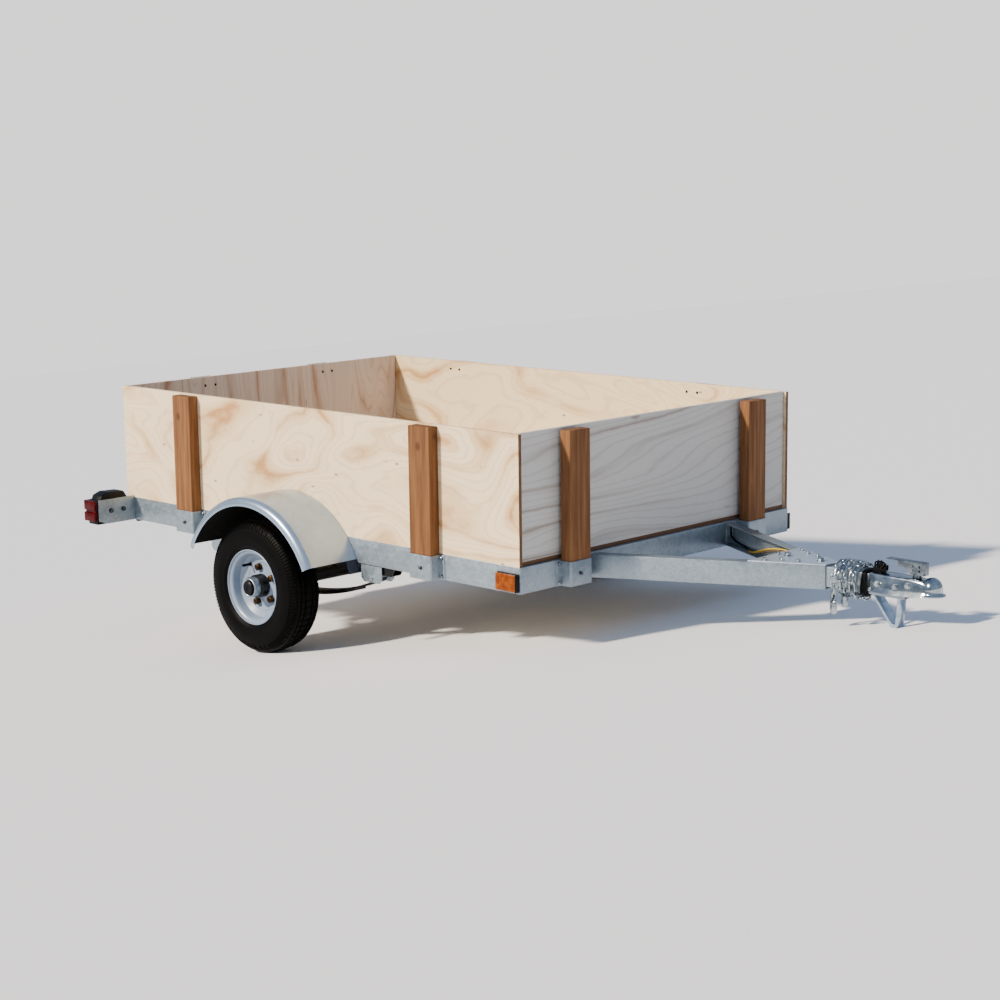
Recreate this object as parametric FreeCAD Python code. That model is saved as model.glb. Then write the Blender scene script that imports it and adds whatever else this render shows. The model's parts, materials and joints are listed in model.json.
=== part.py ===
import FreeCAD, Part
import math
import os
from FreeCAD import Vector

# Single-axle utility trailer with plywood sides on a bolted galvanised frame, in millimetres.
# It is laid out level: X to the trailer's right, Y forward, Z up, with the origin on the
# centre line, half way along the cargo box, at the height of the rails' lower edge.
# At the end the whole trailer is tipped about its axle on to its tongue foot, as it parks.

# Driving dimensions of the cargo box
box_length = 1829.0
box_width = 1238.0
side_height = 374.0
ply = 12.0
deck_thickness = 12.0
end_panel_setback = 9.0
panel_gap = 2.0
deck_gap = 1.0

# Frame rails, folded channel
rail_height = 76.0
rail_flange = 38.0
rail_wall = 3.0
rail_gap = 1.0
cross_member_count = 3
cross_member_tab = 30.0
cross_member_spacing = 440.0

# Stakes and their folded pockets
stake_width = 86.0
stake_depth = 37.0
stake_drop = 4.5
stake_play = 0.5
side_stake_inset = 360.5
front_stake_inset = 210.0
rear_stake_inset = 351.0
pocket_wall = 2.5
pocket_flange = 18.0
pocket_height = 72.0
pocket_bend = 4.0

# Tongue: two converging channel arms, a square tube between them and a plate on top
arm_height = 68.0
arm_flange = 36.0
arm_wall = 3.0
arm_drop = 3.5
arm_foot_inset = 284.0
arm_reach = 608.0
arm_tab = 32.0
tube_width = 51.0
tube_height = 57.0
tube_wall = 3.0
tube_lap = 203.5
tube_reach = 256.5
gusset_thickness = 4.0
gusset_length = 197.5
gusset_margin = 3.0
joint_play = 0.3

# Ball coupler, pressed steel over the front of the tube
coupler_lap = 114.0
coupler_neck = 18.0
ball_reach = 70.0
ball_drop = 22.5
ball_radius = 25.8
coupler_wall = 3.0
coupler_rear_crease_drop = 34.5
coupler_front_crease_drop = 26.5
coupler_flare = 6.0
coupler_rear_depth = 45.5
coupler_lip_radius = 35.0
coupler_lip_depth = 30.5
dome_sides = 16
dome_steps = 4
clamp_length = 29.0
clamp_jaw_setback = 5.0
clamp_spindle_radius = 5.0
clamp_width = 30.0
clamp_depth = 14.0
latch_length = 122.0
latch_width = 24.0
latch_setback = 19.0
latch_rise = 47.5
latch_hole_radius = 3.5
latch_hole_pitch = 19.0
latch_hole_sides = 8
latch_side_length = 84.0
latch_side_depth = 35.0
latch_sheet = 2.5
latch_base_radius = 13.0

# Tongue foot, one bent strap
foot_strap = 5.0
foot_width = 38.0
foot_setback = 8.0
foot_spread = 84.0
foot_low_setback = 16.0
foot_drop = 84.5
foot_bend = 9.0
foot_ear = 8.0

# Axle, wheels and hubs
axle_y = -57.0
axle_z = -90.0
axle_tube_radius = 22.5
spindle_radius = 13.0
wheel_outset = 115.0
tyre_radius = 207.5
tyre_width = 121.0
tyre_bead_radius = 104.0
tyre_shoulder_share = 0.36
tyre_sides = 48
rim_lip_radius = 116.5
rim_width = 108.0
rim_wall = 3.0
rim_well_radius = 84.0
rim_flange_height = 13.0
rim_sides = 24
disc_thickness = 4.0
disc_bowl_radius = 70.0
disc_face_offset = 4.0
hub_radius = 32.5
hub_sides = 24
hub_nose = 26.0
hub_ring_radius = 25.0
hub_ring_length = 24.0
hub_cap_radius = 16.0
hub_cap_recess = 5.0
hub_flange_radius = 70.0
hub_flange_thickness = 8.0
hub_inner_radius = 30.0
hub_inner_length = 42.0
bolt_circle_radius = 57.15
lug_count = 5
lug_first_angle = 102.0
lug_nut_across = 20.0
lug_nut_height = 17.0
axle_play = 0.3

# Springs and their carrier rails
spring_inset = 25.0
spring_eye_gap = 720.0
spring_width = 44.5
leaf = 6.5
spring_eye_radius = 15.0
eye_z = -40.0
second_leaf_share = 0.78
carrier_length = 912.0
carrier_height = 25.0
carrier_width = 38.0
carrier_wall = 3.0
carrier_slant = 16.0
hanger_length = 90.0
hanger_height = 52.0
hanger_chamfer = 12.0
hanger_wall = 4.0
hanger_top_gap = 1.0
pad_thickness = 5.0
spring_plate_length = 90.0
spring_plate_width = 76.0
spring_plate_thickness = 7.0
u_bolt_radius = 5.0
eye_bolt_radius = 7.0

# Mudguards
guard_gap = 2.0
guard_width = 195.0
guard_chord = 571.0
guard_rise = 179.0
guard_base_z = 12.0
guard_lead = 11.5
guard_sheet = 2.0
guard_edge_radius = 20.0
guard_edge_lip = 6.0
guard_edge_steps = 3
guard_steps = 20
guard_tab_width = 40.0
guard_tab_lap = 24.0
guard_tab_sheet = 4.0

# Tail lamps on their brackets, and amber side markers
bracket_inset = 39.5
bracket_reach = 146.0
bracket_height = 82.0
bracket_sheet = 3.0
bracket_flange = 20.0
bracket_chamfer = 12.0
lamp_inset = 26.0
lamp_width = 124.0
lamp_height = 110.0
lamp_depth = 52.0
lamp_corner = 14.0
lens_wrap = 42.0
lens_height = 80.0
lens_base_z = 8.0
lens_depth = 26.0
lens_corner = 5.0
marker_length = 76.0
marker_height = 52.0
marker_base = 8.0
marker_lens = 10.0
marker_base_z = 6.0
marker_corner = 4.0

# Safety chains wound on the tongue tube, with their hooks
chain_wire = 6.0
chain_pitch = 25.0
chain_width = 20.5
chain_slack = 0.4
chain_corner_share = 0.62
chain_turns = 2
chain_short = 2
chain_lead = 20.0
chain_gap = 40.0
hook_length = 52.0
hook_width = 42.0
hook_thickness = 13.0
hook_bar = 11.0
hook_tip = 12.0
hook_cheek = 3.0
hook_pin_radius = 2.2
hook_pin_place = 7.6
hook_bend_steps = 4

# Lighting cable: wound behind the coupler, its flat plug on top, and the run to the frame
cable_width = 6.5
cable_turns = 2
cable_corner = 4.0
plug_length = 30.0
plug_width = 28.0
plug_thickness = 12.0
plug_pin_width = 4.0
plug_pin_length = 18.0
plug_pin_count = 4

# Overrun of every cutting tool, and the distance under which two points are one
over = 5.0
same_point = 1e-6
full_turn = 360.0
rod_sides = 12

half_width = box_width / 2
half_length = box_length / 2
side_stake_y = half_length - side_stake_inset
front_stake_x = half_width - front_stake_inset
rear_stake_x = half_width - rear_stake_inset
arm_foot_x = half_width - arm_foot_inset
spring_x = half_width - spring_inset
rail_top = rail_height
front_face_y = half_length + rail_wall
arm_top = rail_top - arm_drop
arm_bottom = arm_top - arm_height
tube_top = arm_top - arm_wall
tube_bottom = tube_top - tube_height
tube_mid_z = (tube_top + tube_bottom) / 2
arm_lean = math.atan2(arm_foot_x - tube_width / 2 - arm_wall, arm_reach)
arm_tip_x = tube_width / 2 + joint_play + arm_wall / math.cos(arm_lean)
arm_tip_y = front_face_y + arm_reach
gusset_rear_y = arm_tip_y - gusset_length
tube_rear_y = arm_tip_y - tube_lap
tube_front_y = arm_tip_y + tube_reach
coupler_rear_y = tube_front_y - coupler_lap
coupler_neck_y = tube_front_y + coupler_neck
ball_y = tube_front_y + ball_reach
ball_z = tube_top - ball_drop
coupler_lip_z = tube_top - coupler_lip_depth
latch_front_y = ball_y - latch_setback
latch_top_z = tube_top + latch_rise
foot_rear_y = coupler_rear_y + foot_setback
foot_front_y = foot_rear_y + foot_spread
foot_low_y = foot_front_y - foot_low_setback
foot_low_z = tube_bottom - foot_drop
bracket_y = -half_length + bracket_inset
guard_radius = ((guard_chord / 2) ** 2 + guard_rise ** 2) / (2 * guard_rise)
wheel_x = half_width + wheel_outset
guard_y = axle_y + guard_lead


def block(x0, x1, y0, y1, z0, z1):
    """A box between two corners, given axis by axis."""
    return Part.makeBox(x1 - x0, y1 - y0, z1 - z0, Vector(x0, y0, z0))


def prism(points, push):
    """A closed flat outline pushed along a vector."""
    return Part.Face(Part.makePolygon(points + [points[0]])).extrude(push)


def fused(shapes):
    """Touching pieces of one part made one solid."""
    return shapes[0].multiFuse(shapes[1:]).removeSplitter()


def lathe(points, sides, span=full_turn, start=0.0):
    """A closed outline in axial distance and radius, turned about the X axis in flat steps to keep its facets few."""
    whole = span == full_turn
    count = sides if whole else sides + 1
    rings = []
    for i in range(count):
        angle = math.radians(start + span * i / sides)
        rings.append([Vector(a, r * math.sin(angle), r * math.cos(angle)) for a, r in points])
    faces = []
    for i in range(sides):
        near, far = rings[i], rings[(i + 1) % count]
        for j in range(len(points)):
            k = (j + 1) % len(points)
            corners = [near[j], near[k], far[k], far[j]]
            corners = [c for n, c in enumerate(corners) if c.distanceToPoint(corners[n - 1]) > same_point]
            if len(corners) > 2:
                faces.append(Part.Face(Part.makePolygon(corners + [corners[0]])))
    if not whole:
        faces += [Part.Face(Part.makePolygon(ring + [ring[0]])) for ring in (rings[0], rings[-1])]
    shell = Part.makeShell(faces)
    shell.sewShape()
    solid = Part.makeSolid(shell)
    if solid.Volume < 0:
        solid.reverse()
    return solid


def round_bar(start, end, radius):
    """A truly round bar, for what turns or is turned on."""
    run = end - start
    return Part.makeCylinder(radius, run.Length, start, run)


def rod(start, end, radius, sides=rod_sides):
    """A flat-sided bar from one point to another."""
    run = end - start
    bar = lathe([(0, 0), (run.Length, 0), (run.Length, radius), (0, radius)], sides)
    bar.Placement = FreeCAD.Placement(start, FreeCAD.Rotation(Vector(1, 0, 0), run))
    return bar


def arc_shares(steps):
    """Cosine and sine of each stop along a quarter turn."""
    return [(math.cos(math.pi / 2 * i / steps), math.sin(math.pi / 2 * i / steps)) for i in range(steps + 1)]


def other_side(shape):
    """The same piece on the trailer's left side."""
    return shape.mirror(Vector(), Vector(1, 0, 0))


def both_sides(shape):
    """A piece and its mirror image, as two solids."""
    return Part.makeCompound([shape, other_side(shape)])


def channel(length, height, flange, wall):
    """Channel along +X from the origin, web on the +Y side of Y = 0 .. wall, flanges towards -Y."""
    outer = block(0, length, -flange + wall, wall, 0, height)
    bay = block(-over, length + over, -flange - over, 0, wall, height - wall)
    return outer.cut(bay)


# Frame

def side_rail():
    """Right-hand rail: web outside, flanges inwards, over the whole length of the box."""
    rail = channel(box_length, rail_height, rail_flange, rail_wall)
    rail.rotate(Vector(), Vector(0, 0, 1), -90)
    rail.translate(Vector(half_width - rail_wall, half_length, 0))
    return rail


def end_rail():
    """Front rail: its web laps the side rails' ends, its flanges stop short of theirs."""
    reach = half_width - rail_flange - rail_gap
    web = block(-half_width, half_width, half_length, front_face_y, 0, rail_height)
    rail = channel(2 * reach, rail_height, rail_flange, rail_wall)
    rail.translate(Vector(-reach, half_length, 0))
    return fused([web, rail])


def cross_member(y):
    """Channel across the frame, let into the side rails and bolted to their webs by end tabs."""
    reach = half_width - rail_flange - rail_gap
    end_x = half_width - rail_wall
    body = channel(2 * reach, rail_height, rail_flange, rail_wall)
    body.translate(Vector(-reach, y, 0))
    low, high = rail_wall + rail_gap, rail_height - rail_wall - rail_gap
    web = block(-end_x, end_x, y, y + rail_wall, low, high)
    tab = block(end_x - rail_wall, end_x, y - cross_member_tab, y + rail_wall, low, high)
    return fused([body, web, tab, other_side(tab)])


def cross_members():
    middle = (cross_member_count - 1) / 2
    return Part.makeCompound([cross_member((i - middle) * cross_member_spacing) for i in range(cross_member_count)])


# Cargo box

def side_panel():
    return block(half_width - ply, half_width, -half_length, half_length, rail_top, rail_top + side_height)


def deck():
    reach_x = half_width - ply - deck_gap
    reach_y = half_length - end_panel_setback
    return block(-reach_x, reach_x, -reach_y, reach_y, rail_top, rail_top + deck_thickness)


def front_panel():
    reach = half_width - ply - panel_gap
    face = half_length - end_panel_setback
    return block(-reach, reach, face - ply, face, rail_top + deck_thickness, rail_top + side_height)


def turned(shape, degrees, x, y):
    """A piece built against Y = 0, turned about Z and set down at a place."""
    piece = shape.copy()
    piece.rotate(Vector(), Vector(0, 0, 1), degrees)
    piece.translate(Vector(x, y, 0))
    return piece


def stake():
    """Timber stake standing on Y = 0 .. depth, from the pocket's floor line to just below the panel top."""
    return block(-stake_width / 2, stake_width / 2, 0, stake_depth, 0, rail_top + side_height - stake_drop)


def pocket():
    """Hat-section pocket: flanges on the rail's face, walls round the stake."""
    inner = stake_width / 2 + stake_play
    outer = inner + pocket_wall
    depth = stake_depth + stake_play + pocket_wall
    flange = block(-outer - pocket_flange, outer + pocket_flange, 0, pocket_wall, 0, pocket_height)
    shell = block(-outer, outer, 0, depth, 0, pocket_height)
    corners = [e for e in shell.Edges if e.Length == pocket_height and e.BoundBox.YMin > pocket_wall]
    shell = shell.makeChamfer(pocket_bend, corners)
    hollow = block(-inner, inner, -over, stake_depth + stake_play, -over, pocket_height + over)
    return fused([flange, shell]).cut(hollow)


def stake_places():
    """Each stake's group, turn and place on the rails' outer faces."""
    places = []
    for y in (side_stake_y, -side_stake_y):
        places.append(("right", -90, half_width, y))
        places.append(("left", 90, -half_width, y))
    for x in (front_stake_x, -front_stake_x):
        places.append(("front", 0, x, front_face_y))
    for x in (rear_stake_x, -rear_stake_x):
        places.append(("rear", 180, x, -front_face_y))
    return places


def at_stakes(shape, group):
    return Part.makeCompound([turned(shape, turn, x, y) for name, turn, x, y in stake_places() if name == group])


# Tongue

def arm_outer_x(y):
    """Where the arm's outer face runs, at a place along the trailer."""
    share = (arm_tip_y - y) / arm_reach
    return arm_tip_x + share * (arm_foot_x - arm_tip_x)


def tongue_arm():
    """Right arm: channel open inwards, cut square to the trailer at both ends, with a rear bolting tab."""
    lean = math.atan2(arm_foot_x - arm_tip_x, arm_reach)
    run = arm_reach / math.cos(lean)
    arm = channel(run + 4 * arm_flange, arm_height, arm_flange, arm_wall)
    arm.translate(Vector(-2 * arm_flange, -arm_wall, arm_bottom))
    arm.rotate(Vector(), Vector(0, 0, 1), 90 + math.degrees(lean))
    arm = arm.mirror(Vector(), Vector(math.cos(lean), math.sin(lean), 0))
    arm.translate(Vector(arm_foot_x, front_face_y, 0))
    keep = block(joint_play, arm_foot_x + arm_flange, front_face_y, arm_tip_y, arm_bottom, arm_top)
    arm = arm.common(keep)
    inner_x = arm_foot_x - arm_wall / math.cos(lean)
    tab = block(inner_x - arm_tab, inner_x, front_face_y, front_face_y + arm_wall, arm_bottom, arm_top)
    return fused([arm, tab])


def tongue_tube():
    outer = block(-tube_width / 2, tube_width / 2, tube_rear_y, tube_front_y, tube_bottom, tube_top)
    bore = block(-tube_width / 2 + tube_wall, tube_width / 2 - tube_wall, tube_rear_y - over, tube_front_y + over,
                 tube_bottom + tube_wall, tube_top - tube_wall)
    return outer.cut(bore)


def gusset():
    """Flat plate over both arms and the tube, narrowing with the arms."""
    rear = arm_outer_x(gusset_rear_y) - gusset_margin
    front = arm_tip_x
    points = [Vector(-rear, gusset_rear_y, arm_top), Vector(rear, gusset_rear_y, arm_top),
              Vector(front, arm_tip_y, arm_top), Vector(-front, arm_tip_y, arm_top)]
    return prism(points, Vector(0, 0, gusset_thickness))


# Coupler

coupler_inner = tube_width / 2 + joint_play
coupler_half = coupler_inner + coupler_wall
coupler_top = tube_top + coupler_wall
dome_radius = ball_radius + coupler_wall


def coupler_section(y, half, top, crease, flare, bottom):
    """Cross-section of the pressed body: flat top, upright sides and a flared lower edge."""
    xz = [(-half - flare, bottom), (-half, crease), (-half, top), (half, top), (half, crease), (half + flare, bottom)]
    corners = [Vector(x, y, z) for x, z in xz]
    return Part.makePolygon(corners + [corners[0]])


def coupler_skin(inset, stretch):
    """The body's form, drawn in by a wall thickness for its hollow."""
    rear = coupler_section(coupler_rear_y - stretch, coupler_half - inset, coupler_top - inset,
                           tube_top - coupler_rear_crease_drop, coupler_flare, tube_top - coupler_rear_depth - stretch)
    front_crease = tube_top - coupler_front_crease_drop
    neck = coupler_section(coupler_neck_y, coupler_half - inset, coupler_top - inset,
                           front_crease, coupler_flare, coupler_lip_z - stretch)
    nose = coupler_section(ball_y, dome_radius - inset, ball_z + dome_radius * math.cos(math.pi / 4) - inset,
                           front_crease, coupler_flare, coupler_lip_z - stretch)
    return Part.makeLoft([rear, neck, nose], True, True)


clamp_rear_y = ball_y - ball_radius - clamp_length
clamp_spindle_y = clamp_rear_y + clamp_width / 3


def clamp_spindle(play):
    """Spindle that hangs the clamp from the latch, through the coupler's top."""
    start = Vector(0, clamp_spindle_y, ball_z)
    return rod(start, Vector(0, clamp_spindle_y, coupler_top), clamp_spindle_radius + play)


def dome_form(radius, skirt):
    """A half ball on a short straight skirt, standing along X from the ball's centre."""
    quarter = [(radius * up, radius * out) for out, up in arc_shares(dome_steps)]
    return lathe([(-skirt, 0), (-skirt, radius)] + quarter, dome_sides)


def ball_form(radius):
    """A whole ball about the origin."""
    quarter = [(radius * up, radius * out) for out, up in arc_shares(dome_steps)]
    return lathe([(-a, r) for a, r in reversed(quarter)] + quarter[1:], dome_sides)


def upright(shape, place):
    """A form built along X, stood up along Z at a place."""
    shape.rotate(Vector(), Vector(0, 1, 0), -90)
    shape.translate(place)
    return shape


def coupler_body():
    """Pressed coupler: open-bottomed body, ball dome and a flat lip round the socket's mouth."""
    centre = Vector(0, ball_y, ball_z)
    mouth = Vector(0, ball_y, coupler_lip_z)
    dome = upright(dome_form(dome_radius, ball_z - coupler_lip_z), centre)
    lip = rod(mouth, mouth + Vector(0, 0, coupler_wall), coupler_lip_radius, dome_sides)
    outer = fused([coupler_skin(0, 0), dome, lip])
    socket = upright(dome_form(ball_radius, ball_z - coupler_lip_z + over), centre)
    hollow = coupler_skin(coupler_wall, over)
    return outer.cut(hollow).cut(socket).cut(clamp_spindle(joint_play))


def coupler_clamp():
    """Under-jaw that closes on the ball from behind, hung on the latch spindle."""
    body = block(-clamp_width / 2, clamp_width / 2, clamp_rear_y, ball_y - clamp_jaw_setback,
                 ball_z - clamp_depth, ball_z + clamp_jaw_setback)
    jaw = body.cut(upright(ball_form(ball_radius + joint_play), Vector(0, ball_y, ball_z)))
    return fused([jaw, clamp_spindle(0)])


def coupler_latch():
    """Folded latch lever, lying closed above the coupler on its round base."""
    rear_y = latch_front_y - latch_length
    side_y = latch_front_y - latch_side_length
    half = latch_width / 2
    low = latch_top_z - latch_side_depth
    top = block(-half, half, rear_y, latch_front_y, latch_top_z - latch_sheet, latch_top_z)
    front = block(-half, half, latch_front_y - latch_sheet, latch_front_y, low, latch_top_z)
    outline = [Vector(half - latch_sheet, side_y, latch_top_z), Vector(half - latch_sheet, latch_front_y, latch_top_z),
               Vector(half - latch_sheet, latch_front_y, low),
               Vector(half - latch_sheet, side_y + latch_side_length / 2, low),
               Vector(half - latch_sheet, side_y + latch_side_length / 4, low + latch_side_depth / 2),
               Vector(half - latch_sheet, side_y, low + latch_side_depth / 2)]
    side = prism(outline, Vector(latch_sheet, 0, 0))
    for i in (1, 2):
        for j in (1, 2):
            hole = lathe([(0, 0), (latch_width, 0), (latch_width, latch_hole_radius), (0, latch_hole_radius)], latch_hole_sides)
            hole.translate(Vector(0, latch_front_y - i * latch_hole_pitch + latch_hole_radius, low + j * latch_side_depth / 3))
            side = side.cut(hole)
    pivot_y = latch_front_y - latch_side_length / 3
    base = rod(Vector(0, pivot_y, coupler_top), Vector(0, pivot_y, low + latch_sheet), latch_base_radius)
    return fused([top, front, side, other_side(side), base])


def tongue_foot():
    """One strap bent to a V below the tube, with an ear at each end bolted to the tube's underside."""
    half = foot_width / 2
    top = tube_bottom
    rear_top = Vector(-half, foot_rear_y, top - foot_strap)
    front_top = Vector(-half, foot_front_y, top - foot_strap)
    low = Vector(-half, foot_low_y, foot_low_z)
    outline = [Vector(-half, foot_rear_y - foot_ear, top), Vector(-half, foot_rear_y + foot_strap, top),
               low + Vector(0, -foot_strap, 2 * foot_strap), low + Vector(0, foot_strap, 2 * foot_strap),
               Vector(-half, foot_front_y - foot_strap, top), Vector(-half, foot_front_y + foot_ear / 2, top),
               front_top + Vector(0, foot_ear / 2, 0), front_top,
               low + Vector(0, foot_bend, 0), low - Vector(0, foot_bend, 0),
               rear_top, rear_top - Vector(0, foot_ear, 0)]
    return prism(outline, Vector(foot_width, 0, 0))


# Axle, springs and wheels

def axle_beam():
    """Round axle tube with a stepped spindle at each end."""
    end = wheel_x - hub_inner_length - axle_play
    tip = wheel_x + hub_nose
    tube = round_bar(Vector(-end, axle_y, axle_z), Vector(end, axle_y, axle_z), axle_tube_radius)
    spindle = round_bar(Vector(-tip, axle_y, axle_z), Vector(tip, axle_y, axle_z), spindle_radius)
    return fused([tube, spindle])


def wheel_lathe(points, sides):
    """An outline turned about the right wheel's axle line, from the wheel's middle plane."""
    form = lathe(points, sides)
    form.translate(Vector(wheel_x, axle_y, axle_z))
    return form


def tyre():
    """Tyre body: flat tread, rounded shoulders and full side walls down to the beads."""
    half = tyre_width / 2
    wall_height = tyre_radius - tyre_bead_radius
    tread_half = half - wall_height * tyre_shoulder_share / 2
    flange_in = rim_width / 2 - rim_flange_height / 2
    right = [(flange_in - rim_wall, tyre_bead_radius), (flange_in + rim_wall - joint_play, rim_lip_radius - rim_wall),
             (half, tyre_bead_radius + wall_height / 2), (half - rim_wall, tyre_radius - wall_height / 4),
             (tread_half, tyre_radius - rim_wall), (tread_half / 2, tyre_radius)]
    left = [(-a, r) for a, r in reversed(right)]
    return wheel_lathe(right + left, tyre_sides)


def rim():
    """Pressed wheel: lipped barrel with a drop well, and a dished centre disc."""
    half = rim_width / 2
    seat = tyre_bead_radius - joint_play
    flange_in = half - rim_flange_height / 2 + joint_play
    slope = flange_in - rim_wall
    well = half / 5
    right = [(well, rim_well_radius), (half / 3, seat - rim_wall), (slope, seat), (flange_in + rim_wall, rim_lip_radius - rim_wall),
             (half, rim_lip_radius), (half, rim_lip_radius - rim_wall), (slope + rim_wall, seat - rim_wall),
             (half / 3, seat - 2 * rim_wall), (well, rim_well_radius - rim_wall)]
    face = disc_face_offset
    disc = [(face + disc_thickness, disc_bowl_radius), (face + disc_thickness, hub_radius + joint_play),
            (face, hub_radius + joint_play), (face, disc_bowl_radius)]
    left = [(-a, r) for a, r in reversed(right)]
    return wheel_lathe(right + disc + left, rim_sides)


def hub():
    """Black hub: flange behind the disc, barrel through it, grease-cap ring and recessed cap."""
    back = disc_face_offset
    nose = back + disc_thickness + hub_nose
    ring = nose + hub_ring_length
    bore = spindle_radius + axle_play
    body = wheel_lathe([(-hub_inner_length, bore), (-hub_inner_length, hub_inner_radius),
                  (back - hub_flange_thickness, hub_inner_radius), (back - hub_flange_thickness, hub_flange_radius),
                  (back, hub_flange_radius), (back, hub_radius), (nose, hub_radius), (nose, hub_ring_radius),
                  (ring, hub_ring_radius), (ring, hub_cap_radius), (ring - hub_cap_recess, hub_cap_radius),
                  (ring - hub_cap_recess, 0), (nose, 0), (nose, bore)], hub_sides)
    studs = []
    for i in range(lug_count):
        angle = math.radians(lug_first_angle + i * full_turn / lug_count)
        spot = Vector(wheel_x + back + disc_thickness, axle_y + bolt_circle_radius * math.cos(angle),
                      axle_z + bolt_circle_radius * math.sin(angle))
        nut = Part.makePolygon([spot + Vector(0, lug_nut_across / math.sqrt(3) * math.cos(math.radians(60 * k)),
                                              lug_nut_across / math.sqrt(3) * math.sin(math.radians(60 * k)))
                                for k in range(7)])
        studs.append(Part.Face(nut).extrude(Vector(lug_nut_height, 0, 0)))
    return body, Part.makeCompound(studs)


def spring():
    """Two-leaf underslung spring with a rolled eye at each end, bolted under the axle tube."""
    top_mid = axle_z - axle_tube_radius - pad_thickness
    half_gap = spring_eye_gap / 2
    eye_low = eye_z - spring_eye_radius

    def leaf_shape(top_mid_z, reach, end_z):
        mid = Vector(0, axle_y, top_mid_z)
        a, b = Vector(0, axle_y - reach, end_z), Vector(0, axle_y + reach, end_z)
        down = Vector(0, 0, -leaf)
        upper = Part.Arc(a, mid, b).toShape()
        lower = Part.Arc(b + down, mid + down, a + down).toShape()
        wire = Part.Wire([upper, Part.LineSegment(b, b + down).toShape(), lower,
                          Part.LineSegment(a + down, a).toShape()])
        piece = Part.Face(wire).extrude(Vector(spring_width, 0, 0))
        piece.translate(Vector(spring_x - spring_width / 2, 0, 0))
        return piece

    sag = eye_low + leaf - top_mid
    reach_two = half_gap * second_leaf_share
    main = leaf_shape(top_mid, half_gap, eye_low + leaf)
    second = leaf_shape(top_mid - leaf, reach_two, top_mid - leaf + sag * second_leaf_share ** 2)
    eyes = []
    for side in (-1, 1):
        y = axle_y + side * half_gap
        start = Vector(spring_x - spring_width / 2, y, eye_z)
        end = start + Vector(spring_width, 0, 0)
        eyes.append(rod(start, end, spring_eye_radius))
    bores = [rod(Vector(spring_x - spring_width, axle_y + side * half_gap, eye_z),
                 Vector(spring_x + spring_width, axle_y + side * half_gap, eye_z), eye_bolt_radius + joint_play)
             for side in (-1, 1)]
    body = fused([main, second] + eyes)
    for bore in bores:
        body = body.cut(bore)
    return body


def spring_clamp():
    """Axle pad, lower plate and two U-bolts that hold the spring to the axle tube."""
    top_mid = axle_z - axle_tube_radius - pad_thickness
    low = top_mid - 2 * leaf - joint_play
    half_x = spring_plate_width / 2
    plate = block(spring_x - half_x, spring_x + half_x, axle_y - spring_plate_length / 2,
                  axle_y + spring_plate_length / 2, low - spring_plate_thickness, low)
    pad = block(spring_x - spring_width / 2, spring_x + spring_width / 2, axle_y - axle_tube_radius,
                axle_y + axle_tube_radius, top_mid + 2 * joint_play, axle_z)
    pad = pad.cut(round_bar(Vector(0, axle_y, axle_z), Vector(wheel_x, axle_y, axle_z), axle_tube_radius + joint_play))
    bars = []
    bar_x = spring_width / 2 + joint_play
    ring = axle_tube_radius + joint_play
    thick = 2 * u_bolt_radius
    for side in (-1, 1):
        x = spring_x + side * (bar_x + u_bolt_radius) - u_bolt_radius
        centre = Vector(x, axle_y, axle_z)
        across = Vector(thick, 0, 0)
        hoop = rod(centre, centre + across, ring + thick)
        legs = block(x, x + thick, axle_y - ring - thick, axle_y + ring + thick, low - spring_plate_thickness, axle_z)
        gap = block(x - over, x + thick + over, axle_y - ring, axle_y + ring, low - spring_plate_thickness - over, axle_z)
        bars.append(fused([hoop, legs]).cut(gap).cut(round_bar(centre, centre + across, ring)))
    return fused([plate] + bars), pad


def spring_carrier():
    """Black tube under the side rail that carries the spring hangers, its ends cut on a slant."""
    half = carrier_length / 2
    top, low = 0, -carrier_height
    x0 = spring_x - carrier_width / 2
    outline = [Vector(x0, axle_y - half, top), Vector(x0, axle_y + half, top),
               Vector(x0, axle_y + half - carrier_slant, low), Vector(x0, axle_y - half + carrier_slant, low)]
    outer = prism(outline, Vector(carrier_width, 0, 0))
    bore = block(x0 + carrier_wall, x0 + carrier_width - carrier_wall, axle_y - half - over, axle_y + half + over,
                 low + carrier_wall, top - carrier_wall)
    return outer.cut(bore)


hanger_inner = max(carrier_width, spring_width) / 2 + joint_play
carrier_face_x = spring_x + carrier_width / 2


def spring_hangers():
    """Galvanised hanger cheeks on both faces of the carrier, with the spring's eye bolt across each pair."""
    pieces = []
    inner = hanger_inner
    low = -hanger_height
    for side in (-1, 1):
        y = axle_y + side * spring_eye_gap / 2
        half = hanger_length / 2
        bolt = rod(Vector(spring_x - inner - hanger_wall - over, y, eye_z),
                   Vector(spring_x + inner + hanger_wall + over, y, eye_z), eye_bolt_radius)
        bridge = block(spring_x - inner, spring_x + inner, y - half, y + half, -carrier_height - hanger_top_gap - hanger_wall,
                       -carrier_height)
        bridge = bridge.cut(rod(Vector(spring_x - spring_width, y, eye_z), Vector(spring_x + spring_width, y, eye_z),
                                spring_eye_radius + hanger_top_gap))
        cheeks = []
        for face in (-1, 1):
            x = spring_x + face * inner
            outline = [Vector(x, y - half, -hanger_top_gap), Vector(x, y + half, -hanger_top_gap),
                       Vector(x, y + half, low + hanger_chamfer), Vector(x, y + half - hanger_chamfer, low),
                       Vector(x, y - half + hanger_chamfer, low), Vector(x, y - half, low + hanger_chamfer)]
            cheeks.append(prism(outline, Vector(face * hanger_wall, 0, 0)))
        pieces.append(fused(cheeks + [bolt, bridge]))
    return Part.makeCompound(pieces)


# Mudguards

guard_centre_z = guard_base_z + guard_rise - guard_radius
guard_span = math.degrees(2 * math.asin(guard_chord / 2 / guard_radius))


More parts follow.
